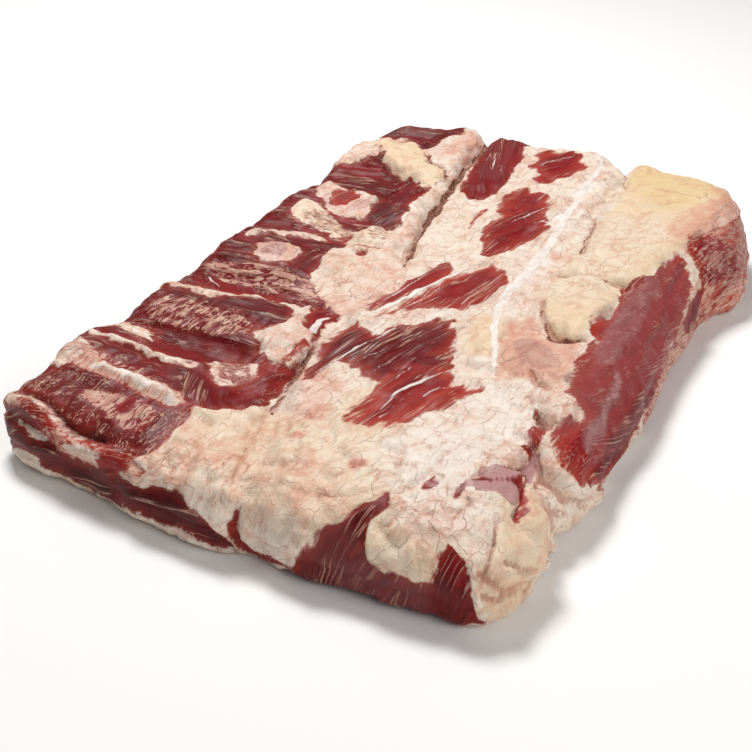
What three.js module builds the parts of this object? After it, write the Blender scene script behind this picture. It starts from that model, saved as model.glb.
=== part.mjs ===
// A whole raw beef brisket, boneless with the deckle left on, lying fat cap down.
// It is one piece of meat, so it is one closed solid: a long slab whose upper face was cut off the
// breastbone and the first five ribs. Millimetres, +Z up. +X runs from the breastbone edge to the
// outer edge, +Y from the front end to the back end, and the origin is under the middle of the slab.
import * as THREE from "three";

// Driving dimensions.
const LENGTH = 440; // front end to back end, before the edges swell
const WIDTH = 290; // breastbone edge to outer edge, before the edges swell
const LONG_CELLS = 62; // steps of the upper face along the length
const CROSS_CELLS = 42; // steps of the upper face across the width
const SHOULDER_RINGS = 6; // rings of faces from the upper face out to the widest line
const FOOT_RINGS = 4; // rings of faces from the widest line in to the underside
const GRAIN_LEAN = 0.1; // how far the middle of the grid leans, so that it runs along the meat's grain

// Thickness of the slab at its four corners, before the relief is added.
const CORNER_THICKNESS = { frontLeft: 38, frontRight: 42, backLeft: 47, backRight: 49 };

// The plan is a rectangle whose corners are rounded by these radii.
const CORNER_RADIUS = { frontLeft: 28, frontRight: 28, backRight: 42, backLeft: 46 };

// How far each corner is pulled, in x and y, and how far along the edges the pull reaches.
const CORNER_PULL = { frontLeft: [-6, 1], frontRight: [-1, -9], backRight: [-5, -3], backLeft: [0, 0] };
const PULL_REACH = 60;

// How each edge rolls over: how far the shoulder reaches in from the widest line, how high that line
// runs, and how far the underside is tucked in beneath it.
const EDGES = {
  front: { shoulder: 24, widestAt: 15, tuck: 12 },
  right: { shoulder: 30, widestAt: 13, tuck: 12 },
  back: { shoulder: 15, widestAt: 20, tuck: 13 },
  left: { shoulder: 18, widestAt: 18, tuck: 13 },
};

// The fat cap under the slab shows as a lip below a crease that runs round the wall.
const CAP_CREASE = { height: 13, depth: 2.4, spread: 3.5 };

// Places where an edge of the plan stands out or draws in: where along the edge, how wide, how far out.
const SWELLS = {
  front: [
    { at: -108, spread: 14, out: 4 },
    { at: -46, spread: 26, out: 10 },
    { at: -8, spread: 22, out: 10 },
    { at: 46, spread: 34, out: 11 },
    { at: 94, spread: 18, out: 8 },
  ],
  right: [
    { at: -145, spread: 9, out: -5 },
    { at: -112, spread: 14, out: 3 },
    { at: -38, spread: 20, out: 1 },
    { at: 30, spread: 34, out: -4 },
    { at: 84, spread: 24, out: -5 },
    { at: 134, spread: 20, out: 9 },
    { at: 164, spread: 12, out: 3 },
  ],
  back: [
    { at: -76, spread: 20, out: 5 },
    { at: -57, spread: 6, out: -5 },
    { at: -36, spread: 16, out: 5 },
    { at: 18, spread: 16, out: 6 },
    { at: 46, spread: 5, out: -4 },
    { at: 86, spread: 20, out: 1 },
  ],
  left: [
    { at: -142, spread: 20, out: 7 },
    { at: -72, spread: 16, out: 3 },
    { at: 18, spread: 32, out: 3 },
    { at: 97, spread: 18, out: -5 },
    { at: 176, spread: 22, out: 3 },
  ],
};

// Relief of the upper face. Each form follows a path of [x, y, half width]; it stands up by rise, or
// sinks if rise is negative, and fades out over soft.
const RELIEF = [
  // Lobes along the breastbone edge, one for each joint of the bone.
  { path: [[-126, -152, 12], [-66, -170, 16]], rise: 6, soft: 28 },
  { path: [[-116, -88, 12], [-62, -94, 14]], rise: 5, soft: 24 },
  { path: [[-118, -16, 10], [-76, -20, 14]], rise: 5, soft: 24 },
  { path: [[-112, 60, 10], [-72, 72, 18]], rise: 3, soft: 28 },
  { path: [[-104, 146, 12], [-74, 160, 12]], rise: 3, soft: 28 },
  { path: [[-108, 204, 8], [-80, 206, 8]], rise: 3, soft: 20 },
  // Valleys between those lobes.
  { path: [[-160, -116, 2], [-100, -126, 3], [-56, -130, 2]], rise: -2, soft: 16 },
  { path: [[-160, -46, 2], [-98, -52, 3], [-54, -54, 2]], rise: -2, soft: 16 },
  { path: [[-160, 26, 2], [-112, 26, 3], [-78, 30, 2]], rise: -2, soft: 16 },
  { path: [[-160, 100, 2], [-122, 108, 3], [-92, 122, 2]], rise: -2, soft: 16 },
  { path: [[-160, 178, 2], [-118, 184, 3], [-94, 190, 2]], rise: -2, soft: 16 },
  // The seam between the breastbone strip and the rib strip: two open clefts and a shallow run. The
  // breastbone strip stands a little higher beside the clefts.
  { path: [[-56, 206, 1], [-50, 160, 1], [-43, 116, 1], [-34, 60, 1], [-29, 24, 1]], rise: -4, soft: 9 },
  { path: [[-28, 24, 1], [-26, -56, 1]], rise: -2, soft: 18 },
  { path: [[-24, -66, 1], [-19, -104, 1], [-15, -138, 1], [-12, -158, 1]], rise: -3, soft: 9 },
  { path: [[-74, 206, 4], [-66, 160, 5], [-58, 110, 4], [-50, 62, 2]], rise: 3, soft: 14 },
  { path: [[-40, -70, 2], [-34, -104, 4], [-30, -138, 3]], rise: 2, soft: 14 },
  // The bare muscle beside the cleft at the back end.
  { path: [[-42, 210, 7], [-36, 180, 8], [-26, 140, 7]], rise: 3, soft: 14 },
  // Muscles that lay between the ribs.
  { path: [[6, 206, 12], [4, 180, 9]], rise: 3, soft: 14 },
  { path: [[6, 138, 10], [12, 94, 14], [13, 62, 4]], rise: 3, soft: 14 },
  { path: [[26, 24, 10], [16, -6, 14], [-12, -50, 4]], rise: 3, soft: 14 },
  { path: [[26, -52, 14], [16, -82, 18], [42, -112, 16], [36, -138, 6]], rise: 3, soft: 16 },
  // The tendon beside them.
  {
    path: [[24, 230, 2], [29, 150, 2], [36, 90, 2], [44, 20, 3], [55, -32, 2], [70, -76, 1]],
    rise: 3,
    soft: 10,
  },
  // The block of deckle fat, its rolled tongue, and the creases round and across it.
  { path: [[92, 166, 29], [90, 112, 26], [87, 60, 20]], rise: 5, soft: 14 },
  { path: [[86, 10, 16], [87, -14, 13]], rise: 5, soft: 12 },
  { path: [[46, 212, 1], [54, 178, 1], [58, 120, 1], [64, 84, 2], [66, 50, 1]], rise: -4, soft: 11 },
  { path: [[64, 36, 1], [102, 36, 1]], rise: -2, soft: 8 },
  // Loose fat over the outer muscle, ahead of the tongue.
  { path: [[88, -54, 11], [100, -66, 11]], rise: 3, soft: 13 },
  { path: [[104, -86, 8], [120, -98, 8], [132, -114, 8]], rise: 4, soft: 18 },
  // The front end: a rolled flap of lean, a fold in the fat, and the lobed corner.
  { path: [[-130, -196, 4], [-106, -204, 6], [-78, -212, 4]], rise: 3, soft: 12 },
  { path: [[-6, -160, 1], [-4, -180, 1], [12, -214, 1]], rise: -3, soft: 12 },
  { path: [[38, -178, 14], [84, -180, 18]], rise: 3, soft: 26 },
  { path: [[126, -186, 12], [130, -166, 8]], rise: 4, soft: 18 },
  { path: [[156, -144, 3], [124, -146, 1]], rise: -6, soft: 14 },
];

const SIDES = ["front", "right", "back", "left"];
const CORNERS = ["frontLeft", "frontRight", "backRight", "backLeft"];

const mix = (a, b, t) => a + (b - a) * t;
const clamp01 = (t) => Math.min(1, Math.max(0, t));
const smooth = (t) => clamp01(t) ** 2 * (3 - 2 * clamp01(t));

// Distance from (x, y) to the outline of a path whose half width changes along it, negative inside.
function distanceToPath(x, y, path) {
  if (path.length === 1) return Math.hypot(x - path[0][0], y - path[0][1]) - path[0][2];
  let nearest = Infinity;
  for (let i = 0; i + 1 < path.length; i++) {
    const [ax, ay, ar] = path[i];
    const [bx, by, br] = path[i + 1];
    const along = ((x - ax) * (bx - ax) + (y - ay) * (by - ay)) / ((bx - ax) ** 2 + (by - ay) ** 2);
    const t = clamp01(along);
    const away = Math.hypot(x - mix(ax, bx, t), y - mix(ay, by, t)) - mix(ar, br, t);
    nearest = Math.min(nearest, away);
  }
  return nearest;
}

// Height of the upper face: the slab's own thickness, mixed between its corners, and the relief on it.
function upperHeight(x, y) {
  const across = smooth(0.5 + x / WIDTH);
  const along = smooth(0.5 + y / LENGTH);
  const front = mix(CORNER_THICKNESS.frontLeft, CORNER_THICKNESS.frontRight, across);
  const back = mix(CORNER_THICKNESS.backLeft, CORNER_THICKNESS.backRight, across);
  let height = mix(front, back, along);
  for (const { path, rise, soft } of RELIEF) {
    height += rise * smooth(1 - distanceToPath(x, y, path) / soft);
  }
  return height;
}

// One side of the rounded rectangle, from the middle of one corner up to the middle of the next, when
// each side is drawn in by inset[side]. The end sides' points crowd to one end, to lean the grid.
// Swells push the points straight out, away from the corners, and the corners are pulled whole.
function sidePoints(sideIndex, inset, steps) {
  const box = {
    left: -WIDTH / 2 + inset.left,
    right: WIDTH / 2 - inset.right,
    front: -LENGTH / 2 + inset.front,
    back: LENGTH / 2 - inset.back,
  };
  const least = 16;
  const side = new THREE.Path();
  for (const turn of [0, 1]) {
    const corner = (sideIndex + turn) % 4;
    const radius = Math.max(least, CORNER_RADIUS[CORNERS[corner]] - 0.4 * (inset.front + inset.right));
    const isLeft = corner === 0 || corner === 3;
    const isFront = corner < 2;
    const cx = isLeft ? box.left + radius : box.right - radius;
    const cy = isFront ? box.front + radius : box.back - radius;
    const squareTo = ((sideIndex - 1) * Math.PI) / 2; // direction in which this side faces
    const from = turn === 0 ? squareTo - Math.PI / 4 : squareTo;
    side.absarc(cx, cy, radius, from, from + Math.PI / 4, false);
  }
  const name = SIDES[sideIndex];
  const facing = { front: [0, -1], right: [1, 0], back: [0, 1], left: [-1, 0] }[name];
  const length = side.getLength();
  const lean = facing[0] === 0 ? GRAIN_LEAN : 0;
  const pulls = [CORNER_PULL[CORNERS[sideIndex]], CORNER_PULL[CORNERS[(sideIndex + 1) % 4]]];
  const points = [];
  for (let i = 0; i < steps; i++) {
    const t = i / steps + (lean * 4 * i * (steps - i)) / steps ** 2;
    const p = side.getPoint(t);
    const at = facing[0] === 0 ? p.x : p.y;
    const [near, far] = pulls.map((_, turn) => smooth(1 - (Math.abs(turn - t) * length) / PULL_REACH));
    let out = 0;
    for (const { at: middle, spread, out: most } of SWELLS[name]) {
      out += most * Math.exp(-(((at - middle) / spread) ** 2));
    }
    out *= (1 - near) * (1 - far);
    const x = p.x + facing[0] * out + near * pulls[0][0] + far * pulls[1][0];
    const y = p.y + facing[1] * out + near * pulls[0][1] + far * pulls[1][1];
    points.push(new THREE.Vector2(x, y));
  }
  return points;
}

// The closed loop of plan points at a share of each edge's inset, from the front left corner round.
function loopAt(share, key) {
  const inset = {};
  for (const side of SIDES) inset[side] = EDGES[side][key] * share;
  const steps = [CROSS_CELLS, LONG_CELLS, CROSS_CELLS, LONG_CELLS];
  return SIDES.flatMap((_, i) => sidePoints(i, inset, steps[i]));
}

// An edge value, such as its widest height, at a loop point that faces the way of the unit vector n.
function edgeValue(key, n) {
  const value = (side) => EDGES[side][key];
  const acrossValue = n.x > 0 ? value("right") : value("left");
  const alongValue = n.y > 0 ? value("back") : value("front");
  return n.x ** 2 * acrossValue + n.y ** 2 * alongValue;
}

// The way each point of a loop faces.
function facings(loop) {
  return loop.map((_, i) => {
    const before = loop[(i + loop.length - 1) % loop.length];
    const after = loop[(i + 1) % loop.length];
    return new THREE.Vector2(after.y - before.y, before.x - after.x).normalize();
  });
}

// The wall: rings from the upper face's edge, round the shoulder, past the widest line and under.
function wallRings() {
  const rings = [];
  for (let k = 0; k <= SHOULDER_RINGS; k++) {
    const turn = (k / SHOULDER_RINGS) * (Math.PI / 2);
    const loop = loopAt(1 - Math.sin(turn), "shoulder");
    const facing = facings(loop);
    rings.push(
      loop.map((p, i) => {
        const widest = edgeValue("widestAt", facing[i]);
        const z = widest + (upperHeight(p.x, p.y) - widest) * Math.cos(turn);
        return creased(p, facing[i], z);
      }),
    );
  }
  for (let k = 1; k <= FOOT_RINGS; k++) {
    const turn = (k / FOOT_RINGS) * (Math.PI / 2);
    const loop = loopAt(1 - Math.cos(turn), "tuck");
    const facing = facings(loop);
    rings.push(
      loop.map((p, i) => {
        const z = edgeValue("widestAt", facing[i]) * (1 - Math.sin(turn));
        return creased(p, facing[i], z);
      }),
    );
  }
  return rings;
}

// A wall point drawn in where the crease above the fat cap runs.
function creased(p, facing, z) {
  const depth = CAP_CREASE.depth * Math.exp(-(((z - CAP_CREASE.height) / CAP_CREASE.spread) ** 2));
  return new THREE.Vector3(p.x - facing.x * depth, p.y - facing.y * depth, z);
}

// The upper face: plan points are blended from the four sides of its edge loop, as a Coons patch.
function upperFace(edge) {
  const [nx, ny] = [CROSS_CELLS, LONG_CELLS];
  const front = (i) => edge[i];
  const right = (j) => edge[nx + j];
  const back = (i) => edge[nx + ny + (nx - i)];
  const left = (j) => edge[(2 * nx + ny + (ny - j)) % edge.length];
  const points = [];
  for (let j = 1; j < ny; j++) {
    for (let i = 1; i < nx; i++) {
      const [u, v] = [i / nx, j / ny];
      const blend = (key) =>
        mix(front(i)[key], back(i)[key], v) +
        mix(left(j)[key], right(j)[key], u) -
        mix(mix(front(0)[key], front(nx)[key], u), mix(back(0)[key], back(nx)[key], u), v);
      const [x, y] = [blend("x"), blend("y")];
      points.push(new THREE.Vector3(x, y, upperHeight(x, y)));
    }
  }
  return points;
}

function brisketGeometry() {
  const rings = wallRings();
  const around = rings[0].length;
  const points = [...rings.flat(), ...upperFace(rings[0])];
  const faces = [];
  const quad = (a, b, c, d) => faces.push(a, b, c, a, c, d);

  // Wall: each ring joins the one outside or below it.
  for (let k = 0; k + 1 < rings.length; k++) {
    for (let i = 0; i < around; i++) {
      const next = (i + 1) % around;
      quad(k * around + i, (k + 1) * around + i, (k + 1) * around + next, k * around + next);
    }
  }

  // Upper face: a grid whose border vertices are the first ring's.
  const [nx, ny] = [CROSS_CELLS, LONG_CELLS];
  const inner = rings.length * around;
  const vertexAt = (i, j) => {
    if (j === 0) return i;
    if (i === nx) return nx + j;
    if (j === ny) return nx + ny + (nx - i);
    if (i === 0) return 2 * nx + ny + (ny - j);
    return inner + (j - 1) * (nx - 1) + (i - 1);
  };
  for (let j = 0; j < ny; j++) {
    for (let i = 0; i < nx; i++) {
      quad(vertexAt(i, j), vertexAt(i + 1, j), vertexAt(i + 1, j + 1), vertexAt(i, j + 1));
    }
  }

  // Underside: one flat face inside the last ring, which lies at height 0.
  const foot = rings.at(-1).map((p) => new THREE.Vector2(p.x, p.y));
  const lowest = (rings.length - 1) * around;
  for (const [a, b, c] of THREE.ShapeUtils.triangulateShape(foot, [])) {
    faces.push(lowest + a, lowest + c, lowest + b);
  }

  const geometry = new THREE.BufferGeometry();
  const coordinates = points.flatMap((p) => [p.x, p.y, p.z]);
  geometry.setAttribute("position", new THREE.Float32BufferAttribute(coordinates, 3));
  geometry.setIndex(faces);
  geometry.computeBoundingBox();
  const middle = geometry.boundingBox.getCenter(new THREE.Vector3());
  geometry.translate(-middle.x, -middle.y, 0);
  geometry.computeVertexNormals();
  return geometry;
}

const rawBeef = new THREE.MeshStandardMaterial({ color: 0xb98376, roughness: 0.45, metalness: 0 });

const brisket = new THREE.Mesh(brisketGeometry(), rawBeef);
brisket.name = "brisket";

const part = new THREE.Group();
part.add(brisket);
export default part;
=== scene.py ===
# %% [markdown]
# # Raw beef brisket, lying fat cap down
# One boneless slab of meat, about 46 cm long. Its upper face was cut off the breastbone and the
# ribs, so it shows bare muscle, white fat and sinew side by side. There is no second part to
# assemble: everything below shapes and paints one closed skin.
# The skin is worked out with numpy, because a slab is easy to say in words: a top sheet that folds
# down at its edges, tucks in underneath and closes. The tissues are then painted as smooth fields
# stored on its points, and the material turns those fields into muscle, fat, sinew and moisture.

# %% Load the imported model
import math

import bpy
import numpy as np
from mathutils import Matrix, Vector


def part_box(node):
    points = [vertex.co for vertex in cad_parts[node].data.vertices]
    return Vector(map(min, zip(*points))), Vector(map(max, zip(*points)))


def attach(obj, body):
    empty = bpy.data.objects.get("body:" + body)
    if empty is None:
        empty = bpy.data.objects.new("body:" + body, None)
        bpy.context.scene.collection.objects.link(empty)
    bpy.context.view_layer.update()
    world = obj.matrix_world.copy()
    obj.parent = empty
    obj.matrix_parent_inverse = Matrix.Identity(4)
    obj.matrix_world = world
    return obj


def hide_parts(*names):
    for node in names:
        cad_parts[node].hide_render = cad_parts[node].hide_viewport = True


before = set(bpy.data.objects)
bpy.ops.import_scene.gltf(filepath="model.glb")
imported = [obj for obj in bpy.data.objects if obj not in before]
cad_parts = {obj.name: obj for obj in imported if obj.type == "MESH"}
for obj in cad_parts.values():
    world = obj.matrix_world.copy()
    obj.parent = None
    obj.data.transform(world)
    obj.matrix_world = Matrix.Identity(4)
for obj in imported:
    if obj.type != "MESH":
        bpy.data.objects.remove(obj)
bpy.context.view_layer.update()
MM = 1000  # millimetres in a metre
low, high = (np.array(corner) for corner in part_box("brisket"))
print("slab to fill, in millimetres:", np.round((high - low) * MM, 1))

# %% [markdown]
# ## Three small tools
# Every form below is a blend of numbers over the skin. `mix` goes from one value to another,
# `smooth` is a step with rounded shoulders, and `ripple` is a cloud of soft random lumps. The
# clouds come from fixed tables of random numbers, so the meat is the same in every run. Blender's
# own noise textures could do this too, but numbers in numpy can shape points as well as colour them.


# %% Blending and random lumps
LATTICE = 32  # random values along each side of a table, before it repeats


def mix(a, b, t):
    """a where t is 0, b where t is 1, and in proportion between."""
    return a + (b - a) * t


def smooth(t):
    """0 below 0 and 1 above 1, with the curve 3t^2 - 2t^3 between."""
    t = np.clip(t, 0, 1)
    return t * t * (3 - 2 * t)


def ripple(u, v, w, seed):
    """Random values on a lattice of whole numbers, blended smoothly between its corners: -1 to 1."""
    table = np.random.default_rng(seed).uniform(-1, 1, (LATTICE,) * 3)
    cells = [np.floor(c).astype(int) for c in (u, v, w)]
    parts = [smooth(c - cell) for c, cell in zip((u, v, w), cells)]
    total = 0
    for corner in range(8):
        bits = [corner >> k & 1 for k in range(3)]
        weight = 1
        for bit, part in zip(bits, parts):
            weight = weight * (part if bit else 1 - part)
        spot = tuple((cell + bit) % LATTICE for cell, bit in zip(cells, bits))
        total = total + weight * table[spot]
    return total


print("a rounded step at a quarter, a half and three quarters:", smooth(np.array([0.25, 0.5, 0.75])))

# %% [markdown]
# ## The slab
# These are the sizes that the solid model was drawn from, in millimetres: a rectangle with four
# rounded corners that were pulled a little out of true, an edge that rolls over differently on
# each side, and swells where the meat bulges past the line. The solid's own mesh could be smoothed
# and divided instead, but its steps would show; the same sizes with finer steps leave no trace.

# %% Sizes of the slab
LENGTH = 440
WIDTH = 290
LONG_CELLS = 280  # steps of the fine skin along the slab
CROSS_CELLS = 180  # steps across it
SHOULDER_RINGS = 25  # rings of points from the upper face out to the widest line
FOOT_RINGS = 9  # rings from there in to the underside
SIDES = ["front", "right", "back", "left"]
CORNER_THICKNESS = [[38, 42], [47, 49]]  # front left and right, then back left and right
CORNER_RADIUS = [28, 28, 42, 46]  # from the front left corner round, against the clock
CORNER_PULL = np.array([[-6, 1], [-1, -9], [-5, -3], [0, 0]])
PULL_REACH = 60  # how far along each side a corner's pull is felt
SMALLEST_RADIUS = 16
GRAIN_LEAN = 0.1  # how far the middle of the grid leans, so that it runs along the meat's grain
SHOULDER = {"front": 24, "right": 30, "back": 15, "left": 18}  # from the upper face out
WIDEST_AT = {"front": 15, "right": 13, "back": 20, "left": 18}  # height of the widest line
TUCK = {"front": 12, "right": 12, "back": 13, "left": 13}  # from there in to the underside
CREASE_HEIGHT, CREASE_DEPTH, CREASE_SPREAD = 13, 2.4, 3.5  # the line above the fat cap
SOLE_SHARE, SOLE_SHIFT = [0.97, 0.98], np.array([-0.4, 0.2])  # the underside in the last ring

# Swells of each side: where along it, how wide, how far out.
SWELLS = {
    "front": [(-108, 14, 4), (-46, 26, 10), (-8, 22, 10), (46, 34, 11), (94, 18, 8)],
    "right": [
        (-145, 9, -5), (-112, 14, 3), (-38, 20, 1), (30, 34, -4), (84, 24, -5), (134, 20, 9), (164, 12, 3),
    ],
    "back": [(-76, 20, 5), (-57, 6, -5), (-36, 16, 5), (18, 16, 6), (46, 5, -4), (86, 20, 1)],
    "left": [(-142, 20, 7), (-72, 16, 3), (18, 32, 3), (97, 18, -5), (176, 22, 3)],
}
around = 2 * (LONG_CELLS + CROSS_CELLS)
print("points round the edge:", around)

# %% [markdown]
# ## Relief of the upper face
# Each lobe, valley and cleft follows a path, like a finger drawn over clay. A path point is
# `(x, y, half width)`; the form stands up or sinks by `rise` and fades out over `soft`. A sculptor
# would brush these forms by hand, but a list of strokes can be read, changed and run again. The
# same tool later paints the tissues, because a band of sinew is also a path with a width.


# %% A path with a width
FAR = 1e9  # farther off than anything here


def nearest_on(x, y, start, end):
    """The nearest point of a segment: its share of the way from start to end, and how far off it is."""
    (ax, ay), (bx, by) = start, end
    length = (bx - ax) ** 2 + (by - ay) ** 2
    t = np.clip(((x - ax) * (bx - ax) + (y - ay) * (by - ay)) / length, 0, 1)
    return t, np.hypot(x - mix(ax, bx, t), y - mix(ay, by, t))


def outside(x, y, path):
    """Distance from the outline of a path: to its nearest segment, less the half width there.

    The half width changes evenly along each segment. The value is negative inside the outline.
    """
    path = np.atleast_2d(np.array(path, float))
    if len(path) == 1:  # a dot is a very short path
        path = np.vstack([path, path + [0.01, 0, 0]])
    nearest = np.full(np.shape(x), FAR)
    for (*start, start_width), (*end, end_width) in zip(path[:-1], path[1:]):
        t, away = nearest_on(x, y, start, end)
        nearest = np.minimum(nearest, away - mix(start_width, end_width, t))
    return nearest


# Large forms of the upper face, as in the solid model: rise, soft, path.
LARGE_RELIEF = [
    # lobes along the breastbone edge, one for each joint of the bone
    (6, 28, [(-126, -152, 12), (-66, -170, 16)]),
    (5, 24, [(-116, -88, 12), (-62, -94, 14)]),
    (5, 24, [(-118, -16, 10), (-76, -20, 14)]),
    (3, 28, [(-112, 60, 10), (-72, 72, 18)]),
    (3, 28, [(-104, 146, 12), (-74, 160, 12)]),
    (3, 20, [(-108, 204, 8), (-80, 206, 8)]),
    # valleys between those lobes
    (-2, 16, [(-160, -116, 2), (-100, -126, 3), (-56, -130, 2)]),
    (-2, 16, [(-160, -46, 2), (-98, -52, 3), (-54, -54, 2)]),
    (-2, 16, [(-160, 26, 2), (-112, 26, 3), (-78, 30, 2)]),
    (-2, 16, [(-160, 100, 2), (-122, 108, 3), (-92, 122, 2)]),
    (-2, 16, [(-160, 178, 2), (-118, 184, 3), (-94, 190, 2)]),
    # the seam between the breastbone strip and the rib strip, and the higher ground beside it
    (-4, 9, [(-56, 206, 1), (-50, 160, 1), (-43, 116, 1), (-34, 60, 1), (-29, 24, 1)]),
    (-2, 18, [(-28, 24, 1), (-26, -56, 1)]),
    (-3, 9, [(-24, -66, 1), (-19, -104, 1), (-15, -138, 1), (-12, -158, 1)]),
    (3, 14, [(-74, 206, 4), (-66, 160, 5), (-58, 110, 4), (-50, 62, 2)]),
    (2, 14, [(-40, -70, 2), (-34, -104, 4), (-30, -138, 3)]),
    # the bare muscle beside that seam at the back end, and the muscles that lay between the ribs
    (3, 14, [(-42, 210, 7), (-36, 180, 8), (-26, 140, 7)]),
    (3, 14, [(6, 206, 12), (4, 180, 9)]),
    (3, 14, [(6, 138, 10), (12, 94, 14), (13, 62, 4)]),
    (3, 14, [(26, 24, 10), (16, -6, 14), (-12, -50, 4)]),
    (3, 16, [(26, -52, 14), (16, -82, 18), (42, -112, 16), (36, -138, 6)]),
    # the tendon
    (3, 10, [(24, 230, 2), (29, 150, 2), (36, 90, 2), (44, 20, 3), (55, -32, 2), (70, -76, 1)]),
    # the deckle fat, its rolled tongue, and the creases round and across it
    (5, 14, [(92, 166, 29), (90, 112, 26), (87, 60, 20)]),
    (5, 12, [(86, 10, 16), (87, -14, 13)]),
    (-4, 11, [(46, 212, 1), (54, 178, 1), (58, 120, 1), (64, 84, 2), (66, 50, 1)]),
    (-2, 8, [(64, 36, 1), (102, 36, 1)]),
    # loose fat over the outer muscle
    (3, 13, [(88, -54, 11), (100, -66, 11)]),
    (4, 18, [(104, -86, 8), (120, -98, 8), (132, -114, 8)]),
    # the front end
    (3, 12, [(-130, -196, 4), (-106, -204, 6), (-78, -212, 4)]),
    (-3, 12, [(-6, -160, 1), (-4, -180, 1), (12, -214, 1)]),
    (3, 26, [(38, -178, 14), (84, -180, 18)]),
    (4, 18, [(126, -186, 12), (130, -166, 8)]),
    (-6, 14, [(156, -144, 3), (124, -146, 1)]),
]


def upper_height(x, y):
    """The slab's own thickness, mixed between its four corners, and the large forms on it."""
    across, along = smooth(0.5 + x / WIDTH), smooth(0.5 + y / LENGTH)
    height = mix(*(mix(left, right, across) for left, right in CORNER_THICKNESS), along)
    for rise, soft, path in LARGE_RELIEF:
        height = height + rise * smooth(1 - outside(x, y, path) / soft)
    return height


print("thickness over the middle:", round(float(upper_height(np.array(0.0), np.array(0.0))), 1), "mm")

# %% [markdown]
# ## The edge, ring by ring
# The outline of the slab is a loop of points. Drawn a little smaller and higher it is the start of
# the shoulder; drawn smaller and lower it is the foot. Stacking such loops on a quarter turn of a
# circle gives a wall that rolls over softly, and equal point counts let every ring join the next.
# A bevel on a flat slab would roll over alike on all sides, and no side of the meat is like another.


# %% One side of the outline
def side_points(index, inset, steps):
    """Arc, straight, arc: half of one rounded corner, the side, and half of the next corner.

    Points are spread by distance, crowded a little towards one end of the short sides; swells push
    them straight out, and each corner's pull is added within its reach.
    """
    left, right = -WIDTH / 2 + inset["left"], WIDTH / 2 - inset["right"]
    front, back = -LENGTH / 2 + inset["front"], LENGTH / 2 - inset["back"]
    square = (index - 1) * math.pi / 2
    facing = np.round([math.cos(square), math.sin(square)])
    centres, radii = [], []
    for corner in (index, (index + 1) % 4):
        radius = max(SMALLEST_RADIUS, CORNER_RADIUS[corner] - 0.4 * (inset["front"] + inset["right"]))
        cx = left + radius if corner in (0, 3) else right - radius
        cy = front + radius if corner < 2 else back - radius
        centres.append(np.array([cx, cy]))
        radii.append(radius)
    starts = [centre + radius * facing for centre, radius in zip(centres, radii)]
    straight = np.hypot(*(starts[1] - starts[0]))
    arcs = [radius * math.pi / 4 for radius in radii]
    total = arcs[0] + straight + arcs[1]
    k = np.arange(steps)
    t = k / steps + (GRAIN_LEAN if facing[0] == 0 else 0) * 4 * k * (steps - k) / steps**2
    s = t * total
    turns = [square - math.pi / 4 + s / radii[0], square + (s - arcs[0] - straight) / radii[1]]
    bends = [c + r * np.stack([np.cos(a), np.sin(a)], -1) for c, r, a in zip(centres, radii, turns)]
    run = starts[0] + (starts[1] - starts[0]) * ((s - arcs[0]) / straight)[:, None]
    on_first_arc, before_last_arc = (s < arcs[0])[:, None], (s < arcs[0] + straight)[:, None]
    points = np.where(on_first_arc, bends[0], np.where(before_last_arc, run, bends[1]))
    place = points[:, 0] if facing[0] == 0 else points[:, 1]
    near, far = smooth(1 - s / PULL_REACH), smooth(1 - (total - s) / PULL_REACH)
    out = sum(rise * np.exp(-(((place - at) / spread) ** 2)) for at, spread, rise in SWELLS[SIDES[index]])
    out = out * (1 - near) * (1 - far)
    pull = near[:, None] * CORNER_PULL[index] + far[:, None] * CORNER_PULL[(index + 1) % 4]
    return points + out[:, None] * facing + pull


def loop(share, edge):
    """All four sides, each drawn in by a share of its own edge size."""
    inset = {side: edge[side] * share for side in SIDES}
    steps = (CROSS_CELLS, LONG_CELLS, CROSS_CELLS, LONG_CELLS)
    return np.concatenate([side_points(i, inset, n) for i, n in enumerate(steps)])


def facings(ring):
    """Unit vectors square to the ring, pointing out, from each point's two neighbours."""
    along = np.roll(ring, -1, 0) - np.roll(ring, 1, 0)
    out = np.stack([along[:, 1], -along[:, 0]], -1)
    return out / np.linalg.norm(out, axis=1, keepdims=True)


def edge_value(edge, facing):
    """An edge's size where the ring faces that way: its x and y sides mixed by the square of each part."""
    across = np.where(facing[:, 0] > 0, edge["right"], edge["left"])
    along = np.where(facing[:, 1] > 0, edge["back"], edge["front"])
    return facing[:, 0] ** 2 * across + facing[:, 1] ** 2 * along


print("the outline reaches over", *np.round(np.ptp(loop(0, SHOULDER), axis=0)), "mm")


# %% The wall
def wall_ring(ring, height):
    """A ring at the given heights, drawn in where the crease above the fat cap runs."""
    facing = facings(ring)
    z = height(ring, edge_value(WIDEST_AT, facing))
    depth = CREASE_DEPTH * np.exp(-(((z - CREASE_HEIGHT) / CREASE_SPREAD) ** 2))
    return np.column_stack([ring - facing * depth[:, None], z])


rings = []
for k in range(SHOULDER_RINGS + 1):
    turn = k / SHOULDER_RINGS * math.pi / 2
    ring = loop(1 - math.sin(turn), SHOULDER)
    rings.append(wall_ring(ring, lambda p, widest: mix(widest, upper_height(*p.T), math.cos(turn))))
for k in range(1, FOOT_RINGS + 1):
    turn = k / FOOT_RINGS * math.pi / 2
    ring = loop(1 - math.cos(turn), TUCK)
    rings.append(wall_ring(ring, lambda p, widest: widest * (1 - math.sin(turn))))
rings = np.array(rings)
print("wall of", len(rings), "rings, each with", rings.shape[1], "points")

# %% [markdown]
# ## The upper face and the underside
# A sheet that has to meet four given edges is a Coons patch: blend the two long edges, blend the
# two short ones, and take away what the four corners count twice. It keeps the mesh in even
# squares, which a filled outline would not. The underside is flat and lies against the floor, so
# half as many points will do there, and one ring of triangles joins it to the wall.


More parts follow.
